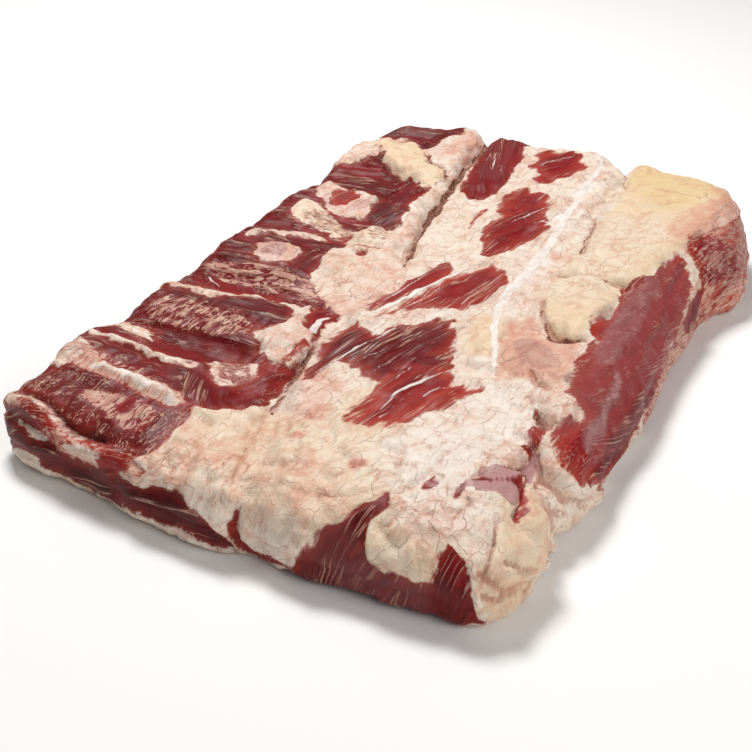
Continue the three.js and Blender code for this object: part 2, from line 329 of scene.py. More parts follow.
# %% Sheets inside a loop
def coons(ring, nx, ny):
    """Points inside a loop of 2(nx + ny) points, blended from its four sides."""
    i, j = np.arange(nx + 1), np.arange(ny + 1)
    front, right = ring[i], ring[nx + j]
    back, left = ring[2 * nx + ny - i], ring[(2 * (nx + ny) - j) % len(ring)]
    u, v = (i / nx)[None, :, None], (j / ny)[:, None, None]
    corners = mix(mix(front[0], front[-1], u), mix(back[0], back[-1], u), v)
    return mix(front[None], back[None], v) + mix(left[:, None], right[:, None], u) - corners


plan = coons(rings[0][:, :2], CROSS_CELLS, LONG_CELLS)
top = np.concatenate([plan, upper_height(plan[..., 0], plan[..., 1])[..., None]], -1)
sole_ring = rings[-1][::2, :2] * SOLE_SHARE + SOLE_SHIFT
sole = coons(sole_ring, CROSS_CELLS // 2, LONG_CELLS // 2)
sole = np.concatenate([sole, np.zeros(sole.shape[:2] + (1,))], -1)
print("top sheet", top.shape[:2], "and underside", sole.shape[:2])

# %% [markdown]
# ## Lay the skin flat
# A leather worker lays a hide flat before marking it. The wall is unrolled the same way here: a
# point half way down it keeps its place along the edge, and its distance out from the top sheet is
# the distance walked down the wall. Forms and tissues that run over the edge are then drawn as one
# stroke on this flat map. Seen only from above, the wall would smear, and a map unwrapped by
# Blender would change with every change of the mesh.

# %% Unroll the wall
facing = facings(rings[0][:, :2])
steps = np.linalg.norm(np.diff(rings, axis=0), axis=2)
walked = np.concatenate([np.zeros((1, around)), np.cumsum(steps, 0)])
outward = ((rings[..., :2] - rings[0, :, :2]) * facing).sum(-1)
wall_map = rings[..., :2] + facing * (walked - outward)[..., None]
print("the wall is", round(walked[-1].min()), "to", round(walked[-1].max()), "mm from top to sole")

# %% Number the points and join them
TOP_COUNT, WALL_COUNT = top[..., 0].size, rings[1:, :, 0].size
points = np.concatenate([top.reshape(-1, 3), rings[1:].reshape(-1, 3), sole.reshape(-1, 3)])
skin = np.concatenate([plan.reshape(-1, 2), wall_map[1:].reshape(-1, 2), sole[..., :2].reshape(-1, 2)])
on_sole = np.arange(len(points)) >= TOP_COUNT + WALL_COUNT


def edge_of(index):
    """The border of a grid of indices as a loop: front, right, back, left."""
    return np.concatenate([index[0, :-1], index[:-1, -1], index[-1, :0:-1], index[:0:-1, 0]])


def quads(index):
    """Each square of a grid of indices, against the clock."""
    corners = [index[:-1, :-1], index[:-1, 1:], index[1:, 1:], index[1:, :-1]]
    return np.stack([c.ravel() for c in corners], -1)


top_index = np.arange(TOP_COUNT).reshape(top.shape[:2])
ring_index = np.vstack([edge_of(top_index), TOP_COUNT + np.arange(WALL_COUNT).reshape(-1, around)])
sole_index = TOP_COUNT + WALL_COUNT + np.arange(sole[..., 0].size).reshape(sole.shape[:2])
closed = np.hstack([ring_index, ring_index[:, :1]])
fine, coarse = ring_index[-1], edge_of(sole_index)
fine_0, fine_1, fine_2 = fine[::2], fine[1::2], np.roll(fine, -2)[::2]
coarse_1 = np.roll(coarse, -1)
seam = [[fine_0, coarse, fine_1], [fine_1, coarse, coarse_1], [fine_1, coarse_1, fine_2]]
four_sided = np.concatenate([quads(top_index), quads(closed)[:, ::-1], quads(sole_index)[:, ::-1]])
three_sided = np.concatenate([np.stack(t, -1) for t in seam])
triangles = np.concatenate([four_sided[:, [0, 1, 2]], four_sided[:, [0, 2, 3]], three_sided])
print(len(points), "points and", len(triangles), "triangles")


def directions(at):
    """Unit normals of the points: the sum of the normals of the triangles round each, by area."""
    a, b, c = (at[triangles[:, k]] for k in range(3))
    face = np.cross(b - a, c - a)
    corner = triangles.ravel()
    total = np.stack([np.bincount(corner, np.repeat(face[:, k], 3), len(at)) for k in range(3)], -1)
    return total / np.linalg.norm(total, axis=1, keepdims=True)


# %% [markdown]
# ## Where the muscle shows
# The bare muscle is what a butcher would name first: fingers of red meat that lay between the ribs,
# the marbled strip that was cut off the breastbone, and the thick outer muscle on the wall. Each
# is a closed outline on the flat map. A painted image could say the same, but it would have a
# fixed fineness. Here a point keeps how deep inside the outline it lies, in millimetres, so the
# material can fray the edge along the grain. With it go how dark the muscle is, how much fat is
# marbled through it, how frayed its ends are and which way its grain runs.


# %% Depth inside a closed outline
CORNER_CUTS = (0.2, 0.8)  # where each edge is cut, as shares of its length


def depth_in(x, y, outline):
    """Distance to the nearest edge, negative outside; the outline's corners are cut off once.

    A point is inside where a line drawn to its right crosses the outline an odd number of times.
    """
    corners = np.array(outline, float)
    corners = np.stack([mix(corners, np.roll(corners, -1, 0), t) for t in CORNER_CUTS], 1).reshape(-1, 2)
    nearest = np.full(np.shape(x), FAR)
    crossings = np.zeros(np.shape(x), int)
    for (ax, ay), (bx, by) in zip(corners, np.roll(corners, -1, 0)):
        nearest = np.minimum(nearest, nearest_on(x, y, (ax, ay), (bx, by))[1])
        if ay != by:
            crossings += ((ay > y) != (by > y)) & (x < ax + (y - ay) * (bx - ax) / (by - ay))
    return np.where(crossings % 2 == 1, nearest, -nearest)


# The outlines are painted in order, each over the ones before it.
# muscle: dark and marbled (0 none, 1 much), fray in mm, grain in degrees from +X, outline.
# fat: warm (about 0 cool white, 1 cream, 2 yellow), blush (0 none, 1 much), outline.
TISSUES = [
    # the breastbone strip is muscle all through, down to the fat cap on its outer wall
    ("muscle", 0.7, 0.35, 2, 5, [
        (-62, 240), (-84, 256), (-112, 250), (-140, 236), (-160, 214), (-172, 190), (-168, 150),
        (-174, 110), (-170, 60), (-176, 10), (-170, -40), (-176, -90), (-170, -140), (-178, -180),
        (-166, -204), (-150, -214), (-128, -220), (-100, -219), (-76, -220), (-50, -224), (-41, -212),
        (-40, -190), (-45, -183), (-34, -178), (-23, -168), (-16, -160), (-17, -140), (-21, -110),
        (-26, -84), (-28, -50), (-24, -10), (-22, 12), (-34, 50), (-42, 100), (-50, 150), (-57, 200),
    ]),
    # its pale parts, from the back end to the front
    ("fat", 0.3, 0.54, [
        (-80, 222), (-70, 232), (-60, 236), (-57, 200), (-52, 170), (-49, 150), (-50, 134), (-58, 138),
        (-70, 145), (-78, 156), (-88, 164), (-84, 176), (-84, 188), (-75, 194), (-73, 206),
    ]),
    ("fat", 0.4, 0.58, [
        (-170, 196), (-142, 196), (-134, 190), (-128, 182), (-124, 164), (-115, 150), (-114, 134),
        (-124, 126), (-138, 124), (-150, 136), (-168, 140), (-172, 170),
    ]),
    ("fat", 1.1, 0.2, [
        (-129, 185), (-105, 184), (-98, 180), (-89, 167), (-79, 153), (-70, 143), (-56, 135), (-52, 128),
        (-53, 116), (-58, 107), (-66, 115), (-74, 121), (-85, 124), (-98, 132), (-108, 142), (-114, 151),
        (-122, 161), (-129, 172),
    ]),
    ("fat", 0.2, 0.75, [
        (-118, 92), (-110, 85), (-98, 86), (-86, 83), (-77, 80), (-76, 68), (-72, 55), (-74, 48), (-84, 47),
        (-96, 50), (-106, 58), (-116, 66), (-122, 76),
    ]),
    ("fat", 0.7, 0.36, [
        (-122, 54), (-112, 60), (-104, 53), (-92, 44), (-76, 38), (-66, 39), (-60, 45), (-50, 44),
        (-46, 54), (-40, 30), (-44, 24), (-58, 20), (-72, 22), (-82, 25), (-88, 31), (-98, 34), (-108, 34),
        (-120, 38),
    ]),
    ("fat", 0.35, 0.58, [
        (-58, 226), (-56, 190), (-50, 150), (-52, 128), (-53, 108), (-50, 92), (-51, 75), (-46, 56),
        (-44, 40), (-50, 24), (-40, 8), (-20, 8), (-32, 46), (-40, 96), (-47, 148), (-54, 200),
    ]),
    ("fat", 0.35, 0.68, [
        (-128, 10), (-118, 8), (-112, 18), (-104, 26), (-94, 28), (-86, 22), (-80, 16), (-92, 14),
        (-104, 9), (-114, 0), (-126, -4),
    ]),
    ("fat", 0.4, 0.54, [
        (-66, 14), (-50, 23), (-18, 16), (-14, -12), (-20, -50), (-27, -57), (-38, -54), (-46, -46),
        (-58, -42), (-62, -34), (-62, -20), (-66, -8), (-66, 4),
    ]),
    ("fat", 0.1, 0.9, [
        (-112, -13), (-104, -5), (-92, -6), (-82, -10), (-79, -18), (-82, -27), (-90, -31), (-100, -31),
        (-108, -24),
    ]),
    ("fat", 0.35, 0.61, [
        (-57, -60), (-47, -56), (-43, -72), (-36, -86), (-27, -84), (-23, -100), (-23, -122), (-32, -125),
        (-44, -116), (-54, -110), (-56, -100), (-47, -93), (-46, -80), (-52, -70), (-60, -66),
    ]),
    ("fat", 0.5, 0.68, [
        (-140, -74), (-116, -73), (-104, -75), (-94, -72), (-86, -67), (-76, -64), (-64, -62), (-55, -62),
        (-62, -68), (-76, -70), (-86, -75), (-96, -81), (-108, -81), (-120, -79), (-140, -82),
    ]),
    ("fat", 0.5, 0.58, [
        (-168, -108), (-142, -116), (-126, -118), (-115, -122), (-106, -126), (-102, -134), (-108, -134),
        (-118, -129), (-130, -127), (-144, -130), (-166, -132),
    ]),
    ("fat", 0.3, 0.65, [
        (-172, -146), (-150, -149), (-134, -154), (-120, -158), (-114, -166), (-124, -174), (-140, -177),
        (-156, -174), (-172, -168),
    ]),
    ("muscle", 0.5, 1.15, 5, 78, [
        (-126, -164), (-108, -166), (-90, -168), (-70, -172), (-54, -176), (-47, -181), (-54, -186),
        (-72, -184), (-92, -180), (-112, -176), (-126, -172),
    ]),
    ("fat", -0.1, 0.2, [
        (-112, -170), (-98, -171), (-84, -172), (-70, -175), (-57, -178), (-50, -182), (-58, -184),
        (-72, -181), (-86, -178.5), (-100, -176), (-112, -174),
    ]),
    ("fat", 0.25, 0.79, [
        (-59, -130), (-49, -124), (-38, -127), (-33, -137), (-36, -148), (-42, -156), (-50, -152),
        (-58, -142),
    ]),
    ("muscle", 0.1, 0.92, 3, 20, [
        (-156, -196), (-140, -204), (-128, -208), (-114, -211), (-104, -216), (-94, -220), (-84, -218),
        (-72, -220), (-50, -222), (-38, -226), (-60, -232), (-84, -232), (-98, -232), (-116, -226),
        (-134, -218), (-150, -214),
    ]),
    ("fat", 0.3, 0.65, [
        (-138, -142), (-120, -142), (-102, -144), (-86, -150), (-72, -149), (-64, -143), (-60, -132),
        (-57, -132), (-60, -145), (-70, -153), (-86, -154), (-102, -148), (-120, -146), (-138, -147),
    ]),
    ("fat", 0.3, 0.65, [
        (-148, -204), (-134, -205), (-120, -206), (-110, -210), (-98, -216), (-108, -216), (-120, -211),
        (-134, -209), (-146, -209),
    ]),
    ("fat", 0.3, 0.65, [
        (-96, -226), (-84, -222), (-70, -223), (-56, -226), (-40, -228), (-60, -233), (-84, -231),
    ]),
    # muscles inside it, from the back end to the front
    ("muscle", 0.82, 0.3, 2, 10, [
        (-133, 192), (-127, 206), (-117, 215), (-100, 224), (-84, 228), (-76, 222), (-72, 208), (-74, 197),
        (-80, 191), (-90, 192), (-98, 190), (-108, 185), (-118, 185), (-128, 187),
    ]),
    ("muscle", 0.82, 0.1, 1, 60, [
        (-99, 187), (-92, 187), (-85, 181), (-82, 173), (-85, 166), (-90, 165), (-94, 174),
    ]),
    ("muscle", 0.82, 0.15, 2, 40, [
        (-114, 150), (-109, 147), (-103, 139), (-97, 132), (-88, 127), (-80, 122), (-80, 112), (-88, 112),
        (-96, 122), (-104, 134), (-115, 134),
    ]),
    ("muscle", 0.55, 0.3, 3, 10, [
        (-131, 121), (-122, 124), (-110, 127), (-102, 131), (-98, 121), (-95, 113), (-104, 111),
        (-118, 111), (-126, 106), (-132, 112),
    ]),
    ("muscle", 0.75, 0.03, 2, 0, [
        (-113, 107), (-104, 112), (-90, 113), (-80, 111), (-73, 104), (-67, 97), (-64, 88), (-70, 83),
        (-82, 85), (-94, 87), (-104, 88), (-112, 93), (-114, 100),
    ]),
    ("muscle", 0.7, 0.35, 3, 70, [
        (-82, 123), (-73, 122), (-66, 116), (-61, 106), (-56, 97), (-51, 86), (-53, 72), (-60, 66),
        (-68, 72), (-68, 82), (-70, 96), (-78, 106),
    ]),
    ("muscle", 0.82, 0.1, 2, 60, [
        (-75, 73), (-66, 77), (-62, 70), (-58, 60), (-50, 54), (-46, 46), (-52, 43), (-60, 48), (-66, 50),
        (-70, 52), (-74, 62),
    ]),
    ("muscle", 0.45, 0.15, 2, 0, [
        (-109, 60), (-100, 54), (-90, 47), (-78, 49), (-66, 46), (-66, 41), (-78, 40), (-90, 43),
        (-102, 51), (-109, 56),
    ]),
    ("muscle", 0.1, 0.3, 4, 80, [
        (-108, 82), (-98, 85), (-88, 78), (-86, 68), (-89, 58), (-98, 56), (-106, 66),
    ]),
    ("muscle", 0.5, 0.1, 2, -30, [
        (-108, 29), (-98, 32), (-90, 30), (-82, 25), (-76, 18), (-80, 17), (-88, 23), (-98, 28), (-107, 29),
    ]),
    ("muscle", 0.35, 0.3, 3, 30, [(-78, 30), (-70, 33), (-66, 24), (-70, 19), (-76, 23)]),
    ("muscle", 0.45, 0.15, 2, 5, [
        (-78, 20), (-68, 18), (-58, 21), (-44, 24), (-44, 21), (-58, 18), (-70, 15), (-79, 17),
    ]),
    ("muscle", 0.75, 0.04, 2, 0, [
        (-115, -2), (-108, 6), (-98, 12), (-84, 16), (-72, 15), (-66, 10), (-66, -2), (-70, -10), (-84, -6),
        (-96, -7), (-108, -5),
    ]),
    ("muscle", 0.45, 0.25, 2, 60, [(-60, 14), (-52, 15), (-48, 9), (-53, 5), (-60, 8)]),
    ("muscle", 0.82, 0.35, 3, 20, [
        (-130, -8), (-121, -10), (-112, -13), (-106, -21), (-105, -29), (-110, -35), (-122, -35),
        (-130, -28),
    ]),
    ("muscle", 0.75, 0.3, 3, 70, [
        (-78, -7), (-67, -7), (-65, -16), (-66, -26), (-62, -34), (-70, -38), (-80, -32), (-80, -20),
    ]),
    ("muscle", 0.75, 0.85, 4, 0, [
        (-134, -38), (-118, -36), (-100, -32), (-82, -34), (-66, -35), (-54, -42), (-46, -48), (-56, -53),
        (-74, -52), (-96, -53), (-112, -49), (-128, -46),
    ]),
    ("muscle", 0.45, 0.2, 4, -45, [
        (-127, -52), (-114, -50), (-100, -52), (-82, -54), (-62, -55), (-58, -62), (-68, -65), (-80, -64),
        (-90, -69), (-104, -72), (-118, -70), (-128, -62),
    ]),
    ("muscle", 0.8, 0.06, 2, 10, [
        (-99, -80), (-91, -74), (-78, -71), (-64, -69), (-54, -73), (-48, -82), (-49, -92), (-58, -94),
        (-66, -88), (-80, -83), (-92, -86),
    ]),
    ("muscle", 0.82, 0.25, 2, 0, [
        (-140, -80), (-128, -77), (-118, -78), (-106, -81), (-94, -82), (-86, -86), (-98, -89), (-116, -87),
        (-134, -90),
    ]),
    ("muscle", 0.75, 0.85, 3, 75, [
        (-132, -93), (-112, -90), (-92, -89), (-74, -91), (-60, -93), (-54, -102), (-58, -111), (-72, -114),
        (-92, -116), (-112, -115), (-130, -108),
    ]),
    ("muscle", 0.82, 0.4, 3, 5, [
        (-130, -112), (-112, -115), (-90, -115), (-68, -114), (-54, -110), (-44, -117), (-34, -127),
        (-42, -131), (-58, -127), (-72, -131), (-88, -128), (-104, -122), (-120, -119),
    ]),
    ("muscle", 0.55, 0.08, 4, 60, [
        (-108, -125), (-96, -128), (-80, -130), (-66, -133), (-59, -141), (-66, -148), (-80, -150),
        (-94, -146), (-106, -141), (-112, -135),
    ]),
    ("muscle", 0.5, 0.15, 3, 0, [
        (-160, -140), (-140, -138), (-122, -134), (-106, -136), (-98, -142), (-110, -142), (-126, -142),
        (-140, -144),
    ]),
    ("muscle", 0.8, 0.3, 2, -20, [
        (-134, -149), (-118, -147), (-100, -150), (-84, -156), (-72, -154), (-62, -149), (-54, -150),
        (-52, -160), (-64, -163), (-80, -161), (-100, -159), (-118, -156), (-132, -153),
    ]),
    ("muscle", 0.6, 0.12, 3, -35, [
        (-61, -148), (-50, -153), (-38, -160), (-26, -158), (-16, -160), (-23, -168), (-34, -177),
        (-44, -183), (-54, -176), (-62, -165), (-64, -156),
    ]),
    ("muscle", 0.55, 0.4, 3, 70, [
        (-44, -118), (-34, -126), (-22, -124), (-18, -138), (-20, -152), (-28, -160), (-38, -158),
        (-38, -148), (-33, -138), (-36, -130),
    ]),
    ("muscle", 0.65, 0.8, 3, 60, [
        (-117, -159), (-104, -160), (-90, -161), (-82, -165), (-88, -171), (-104, -170), (-116, -167),
    ]),
    ("muscle", 0.8, 0.62, 3, 75, [
        (-160, -184), (-138, -179), (-122, -177), (-104, -181), (-84, -186), (-104, -186), (-112, -194),
        (-100, -202), (-84, -203), (-72, -207), (-58, -209), (-52, -200), (-56, -190), (-46, -184),
        (-40, -190), (-40, -204), (-42, -216), (-52, -222), (-66, -219), (-84, -216), (-98, -214),
        (-112, -208), (-128, -204), (-150, -198),
    ]),
    ("muscle", 0.5, 0.95, 4, 75, [
        (-104, -186), (-88, -188), (-70, -188), (-58, -190), (-53, -198), (-58, -208), (-72, -206),
        (-84, -201), (-100, -200),
    ]),
    ("muscle", 0.4, 0.4, 2, 75, [(-78, -188), (-70, -188), (-68, -196), (-74, -200), (-79, -195)]),
    ("muscle", 0.2, 0.15, 3, 10, [
        (-76, -226), (-66, -222), (-54, -222), (-50, -227), (-56, -231), (-68, -235), (-76, -233),
    ]),
    ("muscle", 0.65, 0.2, 2, 15, [
        (-150, -206), (-138, -210), (-126, -214), (-116, -219), (-108, -224), (-118, -224), (-132, -219),
        (-148, -213),
    ]),
    ("muscle", 0.35, 0.4, 2, 20, [
        (-134, -207), (-122, -209), (-112, -213), (-104, -218), (-112, -217), (-124, -212),
    ]),
    ("muscle", 0.55, 0.4, 3, 80, [
        (-46, -58), (-38, -56), (-30, -58), (-27, -70), (-30, -82), (-36, -84), (-42, -74),
    ]),
    ("muscle", 0.3, 0.5, 4, 88, [(-31, -96), (-26, -96), (-25, -108), (-26, -122), (-30, -118)]),
    # the bare muscle beside the seam, and the muscles that lay between the ribs
    ("muscle", 0.5, 0.1, 2, 112, [
        (-58, 240), (-56, 200), (-50, 170), (-44, 142), (-34, 114), (-24, 107), (-16, 112), (-11, 140),
        (-16, 160), (-20, 182), (-26, 205), (-30, 236),
    ]),
    ("muscle", 0.3, 0.05, 5, 62, [
        (-14, 197), (-6, 203), (4, 212), (16, 208), (20, 196), (25, 189), (23, 178), (18, 166), (13, 158),
        (11, 147), (6, 144), (2, 150), (-1, 164), (-9, 170), (-11, 184),
    ]),
    ("muscle", 0.4, 0.05, 6, 68, [
        (-2, 127), (4, 133), (14, 136), (23, 128), (30, 118), (32, 100), (38, 92), (38, 72), (33, 58),
        (25, 48), (21, 34), (16, 31), (13, 48), (5, 58), (1, 74), (5, 88), (-3, 98), (-4, 112),
    ]),
    ("muscle", 0.35, 0.05, 6, 70, [
        (24, 28), (36, 20), (44, 10), (43, 0), (37, -14), (32, -26), (22, -34), (10, -44), (-2, -56),
        (-10, -60), (-4, -48), (1, -34), (6, -20), (10, -6), (15, 8),
    ]),
    ("muscle", 0.3, 0.12, 4, 70, [
        (-2, 22), (5, 17), (10, 4), (6, -12), (1, -26), (-4, -40), (-12, -56), (-18, -50), (-15, -28),
        (-11, -8),
    ]),
    ("muscle", 0.7, 0.05, 5, 70, [
        (-24, -64), (-12, -63), (-5, -72), (6, -73), (9, -64), (18, -58), (28, -50), (34, -43), (40, -52),
        (48, -62), (47, -74), (52, -82), (56, -92), (50, -102), (42, -112), (30, -120), (20, -117),
        (10, -109), (-2, -105), (-5, -114), (-7, -126), (-12, -127), (-17, -114), (-21, -98), (-23, -80),
    ]),
    ("muscle", 0.35, 0.04, 7, 75, [
        (28, -96), (40, -90), (52, -90), (60, -97), (70, -97), (74, -90), (77, -98), (72, -110), (64, -125),
        (56, -141), (48, -152), (38, -157), (28, -160), (30, -146), (31, -130), (28, -112),
    ]),
    ("fat", 0.2, 0.3, [(-5, -56), (4, -58), (8, -66), (4, -73), (-4, -73), (-9, -66)]),
    ("fat", 0.1, 0.5, [(3, -46), (14, -43), (28, -37), (34, -42), (24, -48), (12, -54), (3, -54)]),
    ("muscle", 0.0, 0.6, 4, 85, [(-11, 98), (-7, 98), (-8, 82), (-8, 68), (-11, 80)]),
    # the deckle, the torn fat ahead of it and the white fat of the front end
    ("fat", 1.15, 0.12, [
        (46, 246), (52, 200), (60, 162), (66, 130), (66, 96), (68, 62), (64, 36), (66, 14), (72, -8),
        (79, -24), (86, -33), (92, -37), (98, -33), (104, -26), (106, 4), (108, 30), (116, 60), (120, 100),
        (124, 140), (128, 190), (124, 240), (90, 262), (60, 260),
    ]),
    ("fat", 0.7, 0.95, [
        (62, -30), (74, -20), (82, -34), (92, -39), (104, -32), (110, -50), (112, -70), (117, -88),
        (100, -86), (86, -88), (76, -76), (68, -56),
    ]),
    # fat streaked with muscle under the outer muscle
    ("muscle", 0.4, 1.0, 4, 92, [
        (144, 92), (146, 60), (149, 12), (156, -8), (166, -26), (172, -36), (186, -30), (184, 20),
        (180, 60), (166, 80), (154, 88),
    ]),
    # the outer muscle on the wall, marbled through where it turns to the back
    ("muscle", 0.5, 0.9, 12, 92, [
        (136, 240), (138, 200), (136, 160), (128, 130), (119, 110), (124, 99), (134, 98), (144, 90),
        (152, 74), (166, 60), (178, 84), (184, 120), (184, 160), (176, 200), (152, 236), (134, 246),
    ]),
    ("muscle", 0.15, 0.34, 5, 92, [
        (128, 93), (119, 89), (118, 70), (118, 58), (112, 52), (107, 42), (106, 34), (108, 20), (107, 8),
        (105, -8), (103, -18), (112, -24), (111, -40), (110, -50), (113, -66), (116, -88), (122, -94),
        (130, -98), (130, -108), (124, -118), (128, -130), (140, -135), (152, -131), (164, -118),
        (173, -107), (172, -80), (171, -50), (166, -26), (156, -8), (149, 12), (146, 40), (144, 62),
        (140, 78),
    ]),
    ("muscle", 0.6, 0.05, 2, 92, [
        (150, -10), (158, -20), (168, -34), (170, -60), (170, -90), (168, -108), (158, -116), (152, -90),
        (150, -50),
    ]),
    ("muscle", 0.6, 0.12, 3, 95, [
        (143, 100), (150, 88), (162, 76), (160, 60), (150, 46), (146, 60), (145, 80),
    ]),
    ("muscle", 0.4, 0.78, 4, 92, [
        (118, 112), (126, 122), (140, 130), (158, 128), (164, 118), (156, 104), (144, 90), (132, 96),
        (122, 100),
    ]),
    ("fat", 0.3, 0.5, [
        (100, -88), (112, -88), (121, -91), (129, -93), (133, -99), (129, -108), (124, -118), (118, -117),
        (114, -106), (102, -102),
    ]),
    ("muscle", 0.15, 0.3, 3, 100, [
        (110, -106), (117, -112), (124, -120), (120, -132), (113, -126), (114, -116),
    ]),
    ("muscle", 0.6, 0.05, 1, 40, [
        (112, -124), (114, -132), (118, -137), (120, -142), (118, -148), (117, -155), (112, -160),
        (108, -165), (106, -170), (105, -177), (107, -182), (113, -186), (118, -183), (123, -181),
        (128, -180), (131, -182), (131, -174), (134, -166), (131, -158), (127, -151), (126, -145),
        (127, -140), (122, -136), (116, -130),
    ]),
    ("muscle", 0.6, 0.2, 2, 80, [(89, -178), (93, -181), (94, -186), (92, -192), (90, -194), (89, -187)]),
    ("muscle", 0.7, 0.1, 2, 110, [(102, -179), (107, -186), (107, -194), (103, -193), (100, -186)]),
    ("muscle", 0.1, 0.1, 2, 88, [(131, -157), (136, -158), (139, -185), (134, -188)]),
    # the front wall
    ("muscle", 0.8, 0.05, 2, 5, [
        (-176, -196), (-156, -212), (-142, -216), (-130, -222), (-116, -227), (-102, -229), (-84, -230),
        (-66, -231), (-48, -231), (-40, -240), (-60, -249), (-84, -248), (-108, -244), (-124, -241),
        (-140, -237), (-158, -232), (-172, -222),
    ]),
    ("muscle", 0.9, 0.03, 2, 3, [
        (-60, -234), (-46, -232), (-34, -229), (-22, -230), (-10, -237), (0, -243), (4, -247), (14, -249),
        (18, -256), (2, -257), (-12, -254), (-30, -251), (-60, -250),
    ]),
    ("muscle", 0.7, 0.05, 2, 60, [
        (78, -200), (72, -205), (66, -214), (62, -222), (56, -230), (50, -240), (44, -250), (34, -258),
        (24, -264), (30, -284), (80, -290), (112, -284), (134, -262), (150, -244), (156, -238), (146, -240),
        (138, -240), (133, -233), (127, -223), (119, -217), (113, -218), (110, -226), (111, -236),
        (108, -245), (98, -246), (88, -241), (80, -234), (77, -222), (79, -210),
    ]),
    ("muscle", 0.45, 0.04, 2, 80, [
        (113, -219), (119, -217), (126, -223), (132, -232), (126, -238), (114, -238), (110, -228),
    ]),
    ("muscle", 0.6, 0.3, 2, 80, [
        (9, -226), (14, -226), (15, -238), (20, -247), (34, -253), (38, -258), (24, -256), (12, -246),
        (8, -238),
    ]),
    # the back wall
    ("muscle", 0.7, 0.25, 3, 90, [
        (-14, 240), (4, 232), (24, 236), (36, 246), (30, 258), (8, 262), (-12, 256),
    ]),
    ("muscle", 0.5, 0.5, 5, 90, [
        (52, 244), (76, 248), (104, 246), (126, 236), (140, 236), (132, 256), (104, 274), (74, 276),
        (50, 266),
    ]),
]
print(len(TISSUES), "outlines of muscle and fat")

# %% [markdown]
# ## Sinew, tints and shadows
# Over fat and muscle alike run strands of sinew: the long tendon, the silvery streaks inside the
# rib muscles, the edges of cartilage. They are paths with a width. The fat itself is not one colour:
# `warm` goes from cool white through cream to the yellow of the deckle, and `blush` is how much
# blood colours it. A little `film` dulls the muscle, and a lot is the grey-purple skin left on it;
# `islands` are spots of muscle in the fat, and `gap` is an open cleft or seam, painted dark brown
# for its torn tissue and the shade inside it. Separate meshes for these would need seams, so they
# are strokes of a soft brush: what, how much, how soft, path.

# %% Strands, tints and clefts
SINEW = [
    [
        (27, 228, 0.8), (33, 198, 1.4), (37, 150, 1.8), (42, 105, 2.2), (48, 55, 2.4), (50, 10, 2.6),
        (52, -20, 2.4), (57, -40, 2.2), (66, -58, 1.8), (75, -80, 1), (80, -88, 0.4),
    ],
    [(15, 11, 0.8), (9, -4, 1.5), (5, -16, 1.4), (0, -34, 1.2), (-7, -50, 0.8), (-15, -61, 0.4)],
    [(13, -8, 0.2), (9, -24, 0.5), (4, -40, 0.6), (-4, -54, 0.3)],
    [(-1, 4, 0.2), (-5, -12, 0.5), (-9, -28, 0.6), (-14, -42, 0.3)],
    [(10, -66, 1), (4, -82, 0.5), (-1, -96, 0.9), (-5, -106, 0.8), (-8, -120, 0.3)],
    [(9, -86, 0.2), (4, -94, 0.4), (0, -102, 0.2)],
    [(16, -86, 0.2), (10, -98, 0.4), (7, -106, 0.2)],
    [(24, -94, 0.2), (21, -104, 0.5), (20, -112, 0.3)],
    [(54, -94, 0.2), (49, -104, 0.8), (45, -115, 1), (41, -126, 0.9), (40, -140, 0.4)],
    [(36, -96, 0.2), (35, -110, 0.5), (36, -120, 0.3)],
    [(62, -104, 0.2), (57, -112, 0.6), (54, -120, 0.3)],
    [(47, -120, 0.2), (45, -134, 0.5), (43, -146, 0.3)],
    [(14, 84, 0.2), (20, 98, 0.6), (27, 114, 0.3)],
    [(8, 128, 0.2), (9, 116, 0.4), (8, 106, 0.2)],
    [(28, 88, 0.3), (37, 93, 0.7)],
    [(-3, 168, 0.2), (-2, 180, 0.5), (4, 190, 0.5), (12, 200, 0.3)],
    [(-39, 184, 0.4), (-35, 172, 0.7), (-30, 156, 0.3)],
    [
        (-130, -144, 0.3), (-112, -145, 0.6), (-98, -147, 0.8), (-86, -152, 0.6), (-74, -151, 0.6),
        (-62, -145, 0.3),
    ],
    [(-134, -122, 0.6), (-118, -124, 1.2), (-106, -130, 1.2), (-103, -135, 0.5)],
    [(-122, -50, 0.8), (-114, -56, 1.2), (-106, -63, 0.8)],
    [(-31, -64, 0.6), (-33, -72, 1.6), (-30, -84, 2)],
]
